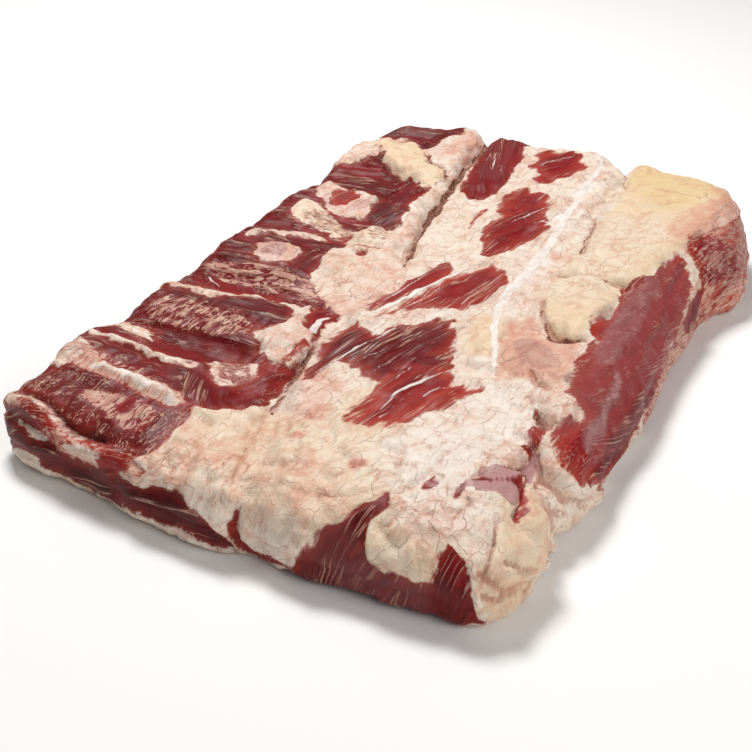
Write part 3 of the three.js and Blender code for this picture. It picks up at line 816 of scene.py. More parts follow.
# Which tint, how strongly, over how many millimetres it fades, and its path.
TINTS = [
    ("warm", 1.8, 26, [(86, 232, 20), (88, 190, 20), (92, 166, 8)]),
    ("warm", 0.8, 26, [(-10, -190, 20), (30, -200, 22), (100, -224, 12)]),
    ("warm", 0.7, 20, [(60, -180, 16), (30, -140, 6)]),
    ("warm", 0.1, 24, [(92, -130, 14), (76, -160, 10), (100, -196, 10)]),
    ("warm", 0.95, 14, [(140, -176, 8), (158, -196, 14), (150, -216, 10)]),
    ("warm", 0.0, 5, [
        (25, 226, 1), (34, 190, 3), (38, 150, 4), (43, 105, 4), (49, 50, 3), (52, -10, 2), (60, -50, 2),
    ]),
    ("warm", 0.1, 10, [(84, -104, 6), (90, -140, 8), (78, -164, 6)]),
    ("warm", 1.1, 12, [(60, -60, 4), (54, -40, 3)]),
    ("warm", 0.3, 6, [(46, 214, 4), (50, 160, 5), (52, 110, 5)]),
    ("blush", 0.3, 10, [(48, 214, 4), (50, 160, 5), (53, 110, 5), (56, 80, 4)]),
    ("blush", 0.55, 9, [(58, 66, 3), (60, 40, 3), (62, 10, 4), (70, -14, 3)]),
    ("blush", 0.9, 20, [(132, 200, 8), (132, 150, 9), (124, 116, 8)]),
    ("blush", 0.9, 10, [(-64, 200, 4), (-62, 170, 4)]),
    ("warm", 0.7, 20, [(88, 100, 14), (84, 60, 10), (84, 10, 8)]),
    ("blush", 2.0, 3, [(52, -189, 1.4), (54, -188, 1.2)]),
    ("blush", 1.9, 4, [(8, -153, 1.5), (10, -158, 1)]),
    ("blush", 1.4, 4, [(15, -178, 2)]),
    ("blush", 0.65, 14, [(-26, -10, 6), (-22, -44, 6)]),
    ("blush", 0.75, 12, [(-12, -120, 3), (-2, -130, 5), (8, -150, 4)]),
    ("blush", 0.6, 16, [(112, -140, 6), (128, -150, 8)]),
    ("blush", 0.6, 22, [(-30, -206, 8), (10, -210, 8), (44, -214, 8)]),
    ("blush", 0.6, 10, [(100, -222, 5), (108, -206, 4)]),
    ("blush", 1.0, 18, [(150, 150, 8), (162, 100, 10), (164, 40, 10), (180, -10, 8)]),
    ("blush", 0.1, 20, [(80, -120, 10), (84, -150, 12)]),
    ("blush", 0.1, 20, [(-14, 90, 8), (-8, 40, 8)]),
    ("islands", 1.0, 6, [(-50, -132, 6), (-42, -144, 6)]),
    ("islands", 0.8, 6, [(-104, 40, 6), (-54, 34, 6)]),
    ("islands", 0.8, 6, [(-120, -160, 4), (-140, -162, 5)]),
    ("film", 1.0, 3, [(123, -136, 2), (124, -152, 3.5), (121, -161, 5.5), (112, -166, 5)]),
    ("film", 1.0, 3, [(108, -181, 3), (118, -179, 5), (128, -174.5, 4.5)]),
    ("film", 0.75, 5, [
        (133, -46, 0.3), (137, -58, 1.4), (137, -72, 0.8), (143, -86, 1.6), (142, -100, 1.4),
        (145, -112, 0.4),
    ]),
    ("film", 0.8, 4, [(91, -186, 1.5)]),
    ("film", 0.8, 4, [(104, -187, 2)]),
    ("film", 0.55, 10, [(117, 50, 3), (118, 36, 4), (119, 10, 6), (120, -14, 5), (122, -40, 3)]),
    ("film", 0.3, 14, [(140, 60, 8), (144, 0, 8), (152, -60, 7)]),
    ("film", 0.38, 14, [(128, 70, 10), (130, 0, 12), (130, -60, 12), (132, -90, 10), (122, -112, 6)]),
    ("film", 0.75, 8, [(-96, -18, 6)]),
    ("film", 0.3, 5, [(-97, 70, 5)]),
    ("film", 0.7, 7, [(-86, 54, 2), (-80, 64, 3), (-79, 76, 1)]),
    ("film", 0.72, 14, [(84, -52, 8), (96, -66, 8)]),
    ("film", 0.25, 10, [(-40, 200, 5), (-28, 150, 5)]),
    ("film", 0.35, 14, [(140, 200, 14), (150, 120, 14)]),
    ("film", 0.32, 14, [(60, -236, 8), (92, -252, 14)]),
    ("film", 0.35, 10, [(-112, 202, 6), (-96, 208, 4)]),
    # gap: open clefts and seams, painted dark for the shade inside them
    ("gap", 1.0, 2.4, [
        (-57, 222, 0.2), (-52, 172, 0.4), (-45, 126, 1.0), (-37, 76, 1.1), (-30, 34, 0.9), (-23, 12, 0.1),
    ]),
    ("gap", 1.0, 1.8, [
        (-23, -98, 0.1), (-21, -110, 0.9), (-18, -124, 0.6), (-15, -140, 0.1), (-12, -156, 0.1),
    ]),
    ("gap", 0.8, 1.8, [(56, 122, 0.1), (60, 108, 0.3), (64, 84, 0.5), (67, 70, 0.1)]),
    ("gap", 0.6, 2.0, [(45, 216, 0.2), (48, 204, 0.3), (53, 186, 0.3), (58, 168, 0.2)]),
    ("gap", 0.55, 1.8, [(62, 37, 0.3), (78, 36.5, 0.4), (92, 36, 0.4), (106, 38, 0.4)]),
    ("gap", 0.8, 1.8, [
        (74, -12, 0.2), (79, -24, 0.3), (85, -32, 0.4), (91, -37, 0.5), (97, -34, 0.5), (104, -30, 0.3),
    ]),
    ("gap", 0.8, 1.8, [(-73, 143, 0.3), (-66, 141, 0.4), (-56, 136, 0.5)]),
    ("gap", 0.45, 2.0, [(-112, 148, 0.5), (-103, 138, 1), (-94, 130, 1), (-82, 124, 0.5)]),
    ("gap", 0.7, 1.5, [(-122, -209, 0.1), (-104, -215.5, 0.3), (-94, -219, 0.3), (-74, -219, 0.1)]),
    ("gap", 0.7, 2.4, [(113, -112, 1), (121, -116, 1)]),
    ("gap", 0.5, 1.6, [(95, -80, 0.3), (100, -86, 0.5), (104, -87, 0.3)]),
    ("gap", 0.5, 2.0, [(126, -146, 0.3), (140, -153, 0.6), (160, -158, 1)]),
    ("gap", 0.6, 1.6, [(43, 180, 0.2), (45, 172, 0.4), (48, 167, 0.5), (45, 166, 0.3)]),
    ("gap", 0.5, 1.4, [(-120, 183, 0.2), (-106, 184, 0.4), (-99, 183, 0.3)]),
]
print(len(SINEW), "strands and", len(TINTS), "tints")

# %% [markdown]
# ## Read the tissues at every point of the skin
# The listed outlines are too straight for meat, so the map is shaken a little before they are read.
# Each muscle has its own grain. Fibres drawn on a map that turned from point to point would shear,
# so there are three flat maps, each turned to one angle, and a muscle takes the nearest of them.
# Only the coarse bundles are worked out here at each muscle's exact angle, one value per point.


# %% Depths, tints and grain
MUSCLE_DEPTH, STRAND_DEPTH = 12, 6  # depths beyond these, in mm, make no difference
UNPAINTED = {"dark": 0.4, "marbled": 0.2, "fray": 2, "warm": 0.35, "blush": 0.35}
UNPAINTED |= {"crosswise": 0, "lengthwise": 1, "slanting": 0, "film": 0, "gap": 0, "islands": 0}
GRAINS = {"crosswise": 4, "lengthwise": 75, "slanting": 112}  # degrees from +X towards +Y
GRAIN_BEND, BEND_SIZE = 2.5, 40  # how far the grain wanders off, and how slowly
BUNDLE_LENGTH, BUNDLE_WIDTH = 26, 3.6
MUSCLE_EDGE, FAT_EDGE, BUNDLE_EDGE = 3, 8, 6  # over how many mm a new tissue takes over
SINEW_SHAKE = 0.3  # sinew runs straighter than the edges of muscle and fat
SLOW_DRIFT, SLOW_SIZE = 1.9, 11  # how far an outline is shaken, and in lumps of what size
QUICK_DRIFT, QUICK_SIZE = 1.1, 4.4


def wander(u, v, seed):
    """A slow and a quick random drift added up, so that the given outlines lose their straightness."""
    slow = ripple(u / SLOW_SIZE, v / SLOW_SIZE, 0 * u, seed)
    quick = ripple(u / QUICK_SIZE, v / QUICK_SIZE, 0 * u, seed + 1)
    return SLOW_DRIFT * slow + QUICK_DRIFT * quick


def bent(u, v, seed):
    """A random drift for the grain: as far as GRAIN_BEND, in lumps of BEND_SIZE."""
    return GRAIN_BEND * ripple(u / BEND_SIZE, v / BEND_SIZE, 0 * u, seed)


def turned(degrees):
    """The flat map, bent a little, turned so that its first axis runs along a grain of that angle."""
    angle = math.radians(degrees)
    x, y = skin.T
    x, y = x + bent(x, y, 51), y + bent(x, y, 52)
    return x * math.cos(angle) + y * math.sin(angle), y * math.cos(angle) - x * math.sin(angle)


def nearest_grain(degrees):
    """The grain map whose angle is nearest, as a share of 1 for it and 0 for the others."""
    apart = {name: abs((degrees - angle + 90) % 180 - 90) for name, angle in GRAINS.items()}
    return {name: float(name == min(apart, key=apart.get)) for name in GRAINS}


u = skin[:, 0] + wander(skin[:, 0], skin[:, 1], 11)
v = skin[:, 1] + wander(skin[:, 0], skin[:, 1], 21)
muscle = np.full(len(u), -float(MUSCLE_DEPTH))
bundle = 0 * u
tints = {name: np.full(len(u), float(value)) for name, value in UNPAINTED.items()}
for kind, *values, outline in TISSUES:
    depth = np.where(on_sole, -MUSCLE_DEPTH, depth_in(u, v, outline))
    if kind == "muscle":
        muscle = np.maximum(muscle, depth)
        painted = dict(zip(("dark", "marbled", "fray"), values)) | nearest_grain(values[3])
        cover = smooth(0.5 + depth / MUSCLE_EDGE)
        along, across = turned(values[3])
        bundles = ripple(along / BUNDLE_LENGTH, across / BUNDLE_WIDTH, 0 * u, 41)
        bundle = mix(bundle, bundles, smooth(1.5 + depth / BUNDLE_EDGE))
    else:
        muscle = np.minimum(muscle, -depth)
        painted = dict(zip(("warm", "blush"), values))
        cover = smooth(0.5 + depth / FAT_EDGE)
    for name, value in painted.items():
        tints[name] = mix(tints[name], value, cover)
muscle = np.clip(muscle, -MUSCLE_DEPTH, MUSCLE_DEPTH)
straight = skin.T + SINEW_SHAKE * (np.stack([u, v]) - skin.T)
strand = -np.min([outside(*straight, path) for path in SINEW], 0)
strand = np.where(on_sole, -STRAND_DEPTH, np.clip(strand, -STRAND_DEPTH, STRAND_DEPTH))
for name, amount, soft, path in TINTS:
    share = smooth(1 - outside(u, v, path) / soft) * ~on_sole
    if name in ("film", "gap", "islands"):
        tints[name] = np.maximum(tints[name], amount * share)
    else:
        tints[name] = mix(tints[name], amount, share)
print("share of bare muscle:", round(float((muscle[:TOP_COUNT] > 0).mean()), 2))

# %% [markdown]
# ## Fine relief
# Smaller forms go on last and push the skin out or in along its own normal: folds and creases
# drawn as paths, soft lobes in the fat, low ridges along the grain of the muscle. A bump texture
# could only shade them; as real shape, the outline and the shadows of the slab carry them too. A
# sunk fold also leaves a crease number on its points, and so do the lines where lobes meet: the
# material paints shade along them.

# %% Folds and creases
# Rise (below 0 it sinks), soft, path.
FOLDS = [
    # the two open clefts and the seams beside the tendon and the deckle
    (-1.8, 3.0, [
        (-57, 224, 0.2), (-52, 172, 0.5), (-46, 126, 0.8), (-38, 76, 0.8), (-31, 34, 0.6), (-24, 14, 0.2),
    ]),
    (-1.8, 3.0, [(-23, -94, 0.2), (-19, -118, 0.8), (-12, -156, 0.2)]),
    (-2.5, 3.5, [(55, 124, 0.2), (60, 108, 0.5), (64, 84, 0.6), (68, 66, 0.2)]),
    (-1.5, 4, [(44, 218, 0.2), (53, 186, 0.2), (62, 162, 0.2)]),
    (-1.6, 2.6, [(62, 37, 0.2), (92, 36, 0.4), (107, 38, 0.2)]),
    (1.2, 4, [(62, 33, 1), (92, 31, 1), (104, 33, 0.5)]),
    (-2.4, 3, [(72, -6, 0.2), (79, -24, 0.4), (91, -37.5, 0.6), (98, -34, 0.5), (106, -29, 0.2)]),
    (2.2, 8, [(78, -8, 2), (86, -24, 3), (92, -30, 1)]),
    # the flap of fat over the breastbone strip
    (-2.5, 3, [(-74, 144, 0.2), (-64, 140, 0.4), (-55, 136, 0.2)]),
    (-2.5, 4, [(-116, 148, 0.5), (-104, 137, 1), (-84, 123, 0.6), (-62, 114, 0.2)]),
    (2.6, 6, [(-116, 168, 5), (-98, 150, 7), (-78, 136, 6), (-60, 128, 3)]),
    (-1.6, 3, [(-122, 183, 0.3), (-99, 184, 0.4)]),
    # the rolled lip at the front left
    (3.4, 5, [
        (-150, -205, 1.5), (-136, -208, 1.5), (-118, -213, 2), (-104, -221, 2), (-84, -223, 1.5),
        (-64, -223, 1),
    ]),
    (-3.0, 3, [
        (-134, -204, 0.2), (-116, -207, 0.4), (-104, -214, 0.6), (-92, -218, 0.6), (-74, -218, 0.2),
    ]),
    (-1.5, 4, [(-140, -216, 0.4), (-110, -226, 0.6), (-94, -231, 0.4)]),
    (1.5, 5, [(-98, -228, 1), (-86, -224, 1), (-70, -226, 1)]),
    # loose fat and the membrane ahead of the tongue
    (-2, 3, [(94, -78, 0.2), (100, -86, 0.4), (106, -88, 0.2)]),
    (-1.5, 3, [(104, -87, 0.2), (114, -90, 0.3), (124, -94, 0.2)]),
    (2, 6, [(108, -96, 3), (122, -98, 3), (126, -106, 2)]),
    (-4, 5, [(113, -113, 1), (121, -117, 1)]),
    (-1.5, 4, [(86, -40, 0.3), (82, -60, 0.4), (76, -72, 0.2)]),
    (1.2, 6, [(76, -50, 1), (70, -62, 1)]),
    # folds where the outer muscle ends at the front right corner
    (2.0, 4, [(118, -126, 0.5), (130, -139, 1), (148, -137, 1), (166, -122, 0.5)]),
    (-2.2, 4, [(118, -132, 0.3), (132, -144, 0.4), (150, -143, 0.4), (172, -126, 0.3)]),
    (2.2, 5, [(134, -151, 0.5), (146, -151, 1.5), (164, -143, 1)]),
    (-4.5, 4, [(124, -148, 0.2), (142, -157, 0.5), (158, -161, 0.7), (174, -160, 0.7)]),
    (-1.8, 3, [(131, -146, 0.2), (133, -160, 0.3), (136, -186, 0.2)]),
    (2.5, 9, [(150, -176, 5), (160, -186, 4)]),
    (-3.2, 3.0, [
        (132, -222, 0.2), (142, -220, 0.3), (152, -218, 0.4), (161, -209, 0.4), (167, -198, 0.4),
        (170, -180, 0.3),
    ]),
    (1.6, 4, [(146, -212, 0.5), (158, -202, 1), (164, -190, 0.5)]),
    (-2.6, 2.6, [(144, -209, 0.2), (155, -202, 0.3), (163, -190, 0.2)]),
    (-2.6, 3, [(139, -230, 0.3), (145, -227, 0.8), (152, -222, 0.3)]),
    (2.2, 5, [(150, -228, 1), (160, -218, 1.5), (170, -204, 1)]),
    (-2.2, 3, [(171, -178, 0.3), (173, -196, 0.3)]),
    (-2.4, 2.6, [(132, -196, 0.2), (135, -206, 0.3), (134, -218, 0.2)]),
    # creases in the fat of the front end
    (-1.6, 4, [(-15, -156, 0.2), (-10, -170, 0.3), (-7, -184, 0.3), (-3, -196, 0.3), (4, -218, 0.2)]),
    (1.2, 4, [(-13, -156, 0.5), (-7, -172, 0.6), (-3, -188, 0.4)]),
    (-1.3, 4, [(0, -160, 0.2), (8, -176, 0.3), (22, -190, 0.2)]),
    (-1.2, 4, [(-30, -186, 0.2), (-22, -206, 0.3), (-23, -224, 0.2)]),
    (1.8, 9, [(20, -214, 5), (32, -224, 5)]),
    (-1.4, 4, [(2, -228, 0.2), (16, -236, 0.4), (32, -246, 0.2)]),
    (-1.3, 3, [(8, -214, 0.2), (18, -206, 0.3), (24, -198, 0.2)]),
    (-0.9, 4, [(22, -160, 0.2), (34, -178, 0.3), (52, -192, 0.2)]),
    (-1.4, 3.5, [(66, -162, 0.2), (71, -178, 0.3), (74, -190, 0.2)]),
    (-1.2, 3, [(84, -196, 0.2), (86, -176, 0.3), (88, -152, 0.2)]),
    (1.0, 3, [(81, -196, 0.3), (83, -176, 0.5), (86, -156, 0.3)]),
    (-1.2, 4, [(96, -130, 0.2), (104, -148, 0.3), (106, -166, 0.2)]),
    (1.5, 5, [(112, -140, 3), (110, -154, 3)]),
    (-1.6, 3, [(120, -144, 0.3), (116, -156, 0.4), (107, -166, 0.4), (104, -178, 0.2)]),
    (-1.5, 4, [(84, -222, 0.2), (88, -210, 0.4), (86, -202, 0.2)]),
    (-1.3, 4, [(96, -204, 0.2), (106, -208, 0.4), (112, -198, 0.2)]),
    (-1.4, 4, [(112, -194, 0.2), (124, -196, 0.4), (134, -192, 0.2)]),
    (-1.2, 5, [(104, -120, 0.2), (112, -136, 0.3), (126, -144, 0.2)]),
    (1.5, 9, [(84, -116, 3), (88, -140, 4)]),
    (1.2, 9, [(52, -182, 4), (78, -186, 3)]),
    (-1.4, 4, [(46, -214, 0.3), (60, -210, 0.3), (74, -196, 0.2)]),
    # seams across the breastbone strip
    (-1.4, 4, [(-140, -76, 0.3), (-112, -74, 0.3), (-86, -68, 0.3), (-60, -64, 0.2)]),
    (1.6, 4, [(-130, -163, 0.5), (-96, -173, 2), (-58, -181, 1)]),
    (-1.3, 4, [(-134, -140, 0.3), (-104, -140, 0.3)]),
    (1.3, 4, [(-134, -146, 0.5), (-100, -147, 1), (-84, -152, 1), (-62, -146, 0.5)]),
    (-1.3, 4, [(-124, -36, 0.3), (-96, -31, 0.3), (-66, -36, 0.2)]),
    (1.5, 8, [(-96, -18, 5)]),
    (1.5, 8, [(-94, 66, 6), (-82, 58, 3)]),
    (-1.5, 4, [(-112, 42, 0.3), (-86, 40, 0.3), (-64, 38, 0.2)]),
    (0.9, 3, [(17, 10, 0.5), (2, -28, 0.6), (-14, -58, 0.4)]),
    (-1.0, 3, [(11, 16, 0.3), (6, 0, 0.3), (-2, -20, 0.3), (-14, -46, 0.2)]),
]
print(len(FOLDS), "folds and creases")


# %% Lobes and ridges
LARGE_LOBE, LITTLE_LOBE = 15, 7  # sizes of the lobes in the fat
CREASE_REACH = 4  # how far beside a sunk fold its dark line fades out


def cloud(size, seed):
    """Random lumps of that size in space: -1 to 1."""
    return ripple(*(points.T / size), seed)


def pillows(size, seed):
    """A random value without its sign: rounded lobes that meet in creases where it crosses 0."""
    return np.abs(cloud(size, seed))


def fine_relief():
    """How far each point is pushed out, and its crease from 0 to 1.

    Every fold adds its rise, faded out over its soft distance. To that come large and little lobes
    where there is fat, or bundles of fibre and small lumps where there is muscle. The crease is the
    largest of three: the lines of the sunk folds, and the lines where lobes of either size meet.
    The material paints shade along it.
    """
    u, v = skin.T
    push, line = 0 * u, 0 * u
    for rise, soft, path in FOLDS:
        away = outside(u, v, path)
        push += rise * smooth(1 - away / soft)
        if rise < 0:
            line = np.maximum(line, min(1, 0.5 - rise / 4) * np.clip(1.12 - away / CREASE_REACH, 0, 1))
    push, line = push * ~on_sole, line * ~on_sole
    fat = smooth(0.5 - muscle / MUSCLE_EDGE)
    large, little = pillows(LARGE_LOBE, 31), pillows(LITTLE_LOBE, 32)
    lobes = 3.4 * large + 2.0 * little + 0.25 * cloud(3.2, 33) - 0.9
    # the crease marks where the material paints shade: where lobes meet and along sunk folds
    shaded_crease = fat * (1 - large / 0.3) * smooth(0.4 + cloud(30, 37))
    shaded_crease = np.maximum(shaded_crease, 0.75 * fat * (1 - little / 0.4) * smooth(cloud(22, 38)))
    shaded_crease = np.maximum(shaded_crease, line)
    ridges = bundle + 0.8 * cloud(12, 36) + 0.4 * cloud(5, 39) - 0.15
    return push + mix(ridges, lobes, fat), shaded_crease


push, shaded_crease = fine_relief()
print("relief from", round(float(push.min()), 1), "to", round(float(push.max()), 1), "mm")

# %% [markdown]
# ## Press the skin flat where it touches
# The fat under the foot lies pressed against the table, so its bumps can't reach below it, and no
# peak may stand above the solid. Cutting them off would leave hard flat spots, so the room left
# above the table and below the solid's top is squeezed: it shrinks ever more slowly towards 0.


# %% Floor, ceiling and box
SQUEEZE = 2  # room, in mm, from which bumps are pressed flat
SOLE_DIMPLES = 0.8  # how deep the dimples under the slab are


def squeezed(room):
    """The room itself down to SQUEEZE mm; below that it shrinks as a decaying exponential does."""
    return np.where(room < SQUEEZE, SQUEEZE * np.exp(np.minimum(room / SQUEEZE, 1) - 1), room)


push = np.where(on_sole, -SOLE_DIMPLES * smooth(0.5 + 0.5 * push), push)
shaped = points + directions(points) * push[:, None]
ceiling = high[2] * MM
shaped[:, 2] = ceiling - squeezed(ceiling - squeezed(shaped[:, 2]))
shaped_low, shaped_high = shaped.min(0), shaped.max(0)
shaped = low + (shaped - shaped_low) * ((high - low) / (shaped_high - shaped_low))
print("drawn to the solid's box by", np.round((high - low) * MM / (shaped_high - shaped_low), 4))

# %% [markdown]
# ## Put the skin into Blender
# The points and faces become one mesh, and each tissue field becomes an attribute with one number
# per point. A painted image would need a map of its own and a file beside the scene. Attributes
# travel with the mesh, so the material reads them wherever the piece goes.

# %% Build the piece
sides = np.concatenate([np.full(len(four_sided), 4), np.full(len(three_sided), 3)])
corners = np.concatenate([four_sided.ravel(), three_sided.ravel()])
mesh = bpy.data.meshes.new("brisket meat")
mesh.vertices.add(len(shaped))
mesh.vertices.foreach_set("co", shaped.ravel())
mesh.loops.add(len(corners))
mesh.loops.foreach_set("vertex_index", corners)
mesh.polygons.add(len(sides))
mesh.polygons.foreach_set("loop_start", np.cumsum(sides) - sides)
mesh.polygons.foreach_set("use_smooth", np.ones(len(sides), bool))
mesh.update(calc_edges=True)
mesh.validate()
FIELDS = {"muscle": muscle, "bundle": bundle, "strand": strand, "shaded_crease": shaded_crease, **tints}
for name, values in FIELDS.items():
    mesh.attributes.new(name, "FLOAT", "POINT").data.foreach_set("value", values.astype(np.float32))
for name, degrees in GRAINS.items():
    grain_map = np.stack([*turned(degrees), 0 * u], -1).astype(np.float32)
    stored = mesh.attributes.new("grain_" + name, "FLOAT_VECTOR", "POINT")
    stored.data.foreach_set("vector", grain_map.ravel())
brisket_meat = bpy.data.objects.new("brisket_meat", mesh)
bpy.context.scene.collection.objects.link(brisket_meat)
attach(brisket_meat, "root")
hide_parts("brisket")
print("piece:", brisket_meat.name, "with", len(mesh.polygons), "faces")

# %% [markdown]
# ## Shader maths in plain Python
# A material is a graph of small nodes, and this one has hundreds: too many to join up by hand in
# the shader editor. Wrapping a socket in a class that knows `+`, `-`, `*` and `/` lets the graph be
# written as ordinary formulas: `1 - mask` adds one Math node and gives back its output. Every other
# node comes from the single method `node`.


# %% A socket that does arithmetic
class Signal:
    """One output socket. Arithmetic with numbers or other signals adds Math nodes to its material."""

    def __init__(self, tree, socket):
        self.tree, self.socket = tree, socket

    @staticmethod
    def node(tree, kind, settings=None, sockets=None, output=0):
        """Adds a node of that type: first its settings, then the values or links of its sockets."""
        made = tree.nodes.new(kind)
        for name, value in (settings or {}).items():
            setattr(made, name, value)
        for name, value in (sockets or {}).items():
            if isinstance(value, Signal):
                tree.links.new(value.socket, made.inputs[name])
            else:
                made.inputs[name].default_value = value
        return Signal(tree, made.outputs[output] if made.outputs else None)

    def math(self, operation, *values):
        """One Math node with those values on its sockets, in order."""
        return Signal.node(self.tree, "ShaderNodeMath", {"operation": operation}, dict(enumerate(values)))

    def __add__(self, other):
        return self.math("ADD", self, other)

    def __sub__(self, other):
        return self.math("SUBTRACT", self, other)

    def __mul__(self, other):
        return self.math("MULTIPLY", self, other)

    def __truediv__(self, other):
        return self.math("DIVIDE", self, other)

    def __radd__(self, other):
        return self.math("ADD", other, self)

    def __rsub__(self, other):
        return self.math("SUBTRACT", other, self)

    def __rmul__(self, other):
        return self.math("MULTIPLY", other, self)

    def __rtruediv__(self, other):
        return self.math("DIVIDE", other, self)

    def most(self, other):
        """The larger of the two."""
        return self.math("MAXIMUM", self, other)

    def size(self):
        """The value without its sign."""
        return self.math("ABSOLUTE", self)

    def step(self, start, end):
        """0 up to start, 1 from end on, with a soft change between."""
        sockets = {"Value": self, "From Min": start, "From Max": end}
        return Signal.node(self.tree, "ShaderNodeMapRange", {"interpolation_type": "SMOOTHSTEP"}, sockets)


def colour(red, green, blue):
    """A colour picked as screen values from 0 to 255, as the linear light that a shader works in."""
    light = [((c / 255 + 0.055) / 1.055) ** 2.4 if c > 10 else c / 3295 for c in (red, green, blue)]
    return (*light, 1)


# %% [markdown]
# ## Reading the tissues and their textures
# Muscle fibres are long and thin, so their noise is looked up in the grain maps, squeezed across
# the grain. Fat is lumpy and has no direction, so its noise uses the object's own place in space.
# An image would be quicker, but it would repeat or blur, while noise is fine at any distance.
# Sizes are given in millimetres, so they can be compared with the real thing.

# %% Inputs of the material
raw_beef = bpy.data.materials.new("raw beef")
raw_beef.use_nodes = True
tree = raw_beef.node_tree
tree.nodes.clear()
NOISE_GAIN = 2.6  # noise keeps near its middle, so it is stretched to fill -1 to 1


def field(name):
    """A number painted on the skin."""
    return Signal.node(tree, "ShaderNodeAttribute", {"attribute_name": name}, output="Fac")


def vector_math(operation, sockets):
    """A sum or product of two vectors, or of a vector and a number."""
    return Signal.node(tree, "ShaderNodeVectorMath", {"operation": operation}, sockets)


def scaled(vector, sizes):
    """Coordinates divided by a size along each axis, so that one unit is one lump."""
    return vector_math("MULTIPLY", {0: vector, 1: tuple(1 / size for size in sizes)})


def lumps(vector, sizes, detail=2.0, distortion=0.0):
    """Noise from about -1 to 1 whose lumps have the given sizes; two sizes are enough on a flat map."""
    dimensions = {"noise_dimensions": f"{len(sizes)}D"}
    at = scaled(vector, (*sizes, 1)[:3])
    sockets = {"Vector": at, "Scale": 1.0, "Detail": detail, "Distortion": distortion}
    return (Signal.node(tree, "ShaderNodeTexNoise", dimensions, sockets) - 0.5) * NOISE_GAIN


def cells(vector, sizes, wander=1.6, amount=0.9):
    """Distance to the borders between random cells of the given sizes, 0 on a border.

    A noise whose lumps are wander times as large as the cells pushes the borders out of true.
    """
    at = scaled(vector, (*sizes, 1))
    noise_sockets = {"Vector": at, "Scale": 1 / wander, "Detail": 2.0}
    noise = Signal.node(tree, "ShaderNodeTexNoise", {"noise_dimensions": "2D"}, noise_sockets, "Color")
    centred = vector_math("SUBTRACT", {0: noise, 1: (0.5, 0.5, 0.5)})
    shift = vector_math("SCALE", {0: centred, "Scale": amount})
    sockets = {"Vector": vector_math("ADD", {0: at, 1: shift}), "Scale": 1.0}
    settings = {"feature": "DISTANCE_TO_EDGE", "voronoi_dimensions": "2D"}
    return Signal.node(tree, "ShaderNodeTexVoronoi", settings, sockets, "Distance")


def blend(share, first, second):
    """first where share is 0 and second where it is 1, for colours."""
    settings = {"data_type": "RGBA", "clamp_factor": True}
    return Signal.node(tree, "ShaderNodeMix", settings, {0: share, 6: first, 7: second}, 2)


metres = Signal.node(tree, "ShaderNodeTexCoord", output="Object")
place = scaled(metres, (1 / MM,) * 3)
grain_maps = {}
for name in GRAINS:
    stored = {"attribute_name": "grain_" + name}
    grain_maps[name] = Signal.node(tree, "ShaderNodeAttribute", stored, output="Vector")


def along_grain(texture, *values):
    """A texture looked up along the grain: each grain map's own, times that map's share."""
    total = 0
    for name, grain in grain_maps.items():
        total = total + texture(grain, *values) * field(name)
    return total


flat = grain_maps["lengthwise"]
broad = lumps(place, (26, 26, 26))
patchy = lumps(place, (9, 9, 9), 3.0)
small = lumps(place, (3.4, 3.4, 3.4), 3.0)
grit = lumps(place, (1.1, 1.1, 1.1))
bundle = field("bundle")
fibre = along_grain(lumps, (18, 1.4), 3.0)
print("textures:", len(tree.nodes), "nodes so far")

# %% [markdown]
# ## Muscle
# Bare muscle is dark red with paler bundles of fibre along the grain. Where it is marbled, fat
# lies between the bundles as a net of short branches, and single streaks run on beyond it. The
# edge between muscle and fat is frayed: the depth inside the outline is shifted by fibre noise
# before it is turned into a sharp mask. Streaks of fat could be modelled as thin strips, but on a
# cut face they lie flush with the muscle, so colour and a little bump are enough.

# %% Edge and marbling
fray = field("fray")
depth = field("muscle") + fray * (bundle * 0.55 + fibre * 0.45) + patchy * 1.5 + small * 0.9
meaty = (depth / (fray * 0.3 + 0.25)).step(-1.0, 1.0)
inner = (depth / (fray * 0.8 + 1)).step(0.0, 2.2)

marbling = field("marbled") + patchy * 0.2 + broad * 0.14 + bundle * 0.1
blotch = along_grain(lumps, (6, 2.1), 5.0, 0.8)
branches = along_grain(cells, (5.4, 2.6), 1.2, 2.2) / (marbling * 0.2 - 0.04 + small * 0.06).most(0.002)
broken = (patchy * 0.8 + blotch * 0.8 + small * 0.5 + 0.25).step(0.0, 0.7)
patches = (blotch * 0.6 + marbling * 1.12 - 0.95).step(-0.06, 0.12)
net = ((1 - branches.step(0.4, 1.3)) * broken * (marbling - 0.1).step(0.05, 0.45)).most(patches)
line_run = (bundle + patchy * 0.6).step(0.1, 0.6)
white_lines = (1 - along_grain(lumps, (60, 3), 1.0).size() * 7).step(0.0, 0.9) * line_run * 0.8
fleck = along_grain(lumps, (3.5, 0.9), 1.0).step(0.7, 1.05) * (marbling + 0.35).step(0.0, 1.0) * 0.9
white_in_red = net.most(fleck).most(white_lines) * 0.78
print("marbling:", len(tree.nodes), "nodes so far")

# %% Muscle colour
BRIGHT_RED, DARK_RED = colour(148, 24, 25), colour(74, 9, 10)
THIN_EDGE = colour(196, 84, 66)  # muscle so thin that the fat under it shows
PALE_FIBRE, DARK_FIBRE, PINK_SPECK = colour(186, 72, 64), colour(76, 6, 10), colour(208, 126, 118)
MARBLE_WHITE, MARBLE_PINK = colour(228, 196, 172), colour(182, 108, 94)
DULL_RED, PAINTED_FOLD_SHADE = colour(138, 82, 80), colour(58, 8, 10)
FILM_DARK, FILM_PALE, FILM_THICK = colour(156, 98, 94), colour(218, 180, 172), colour(208, 168, 162)

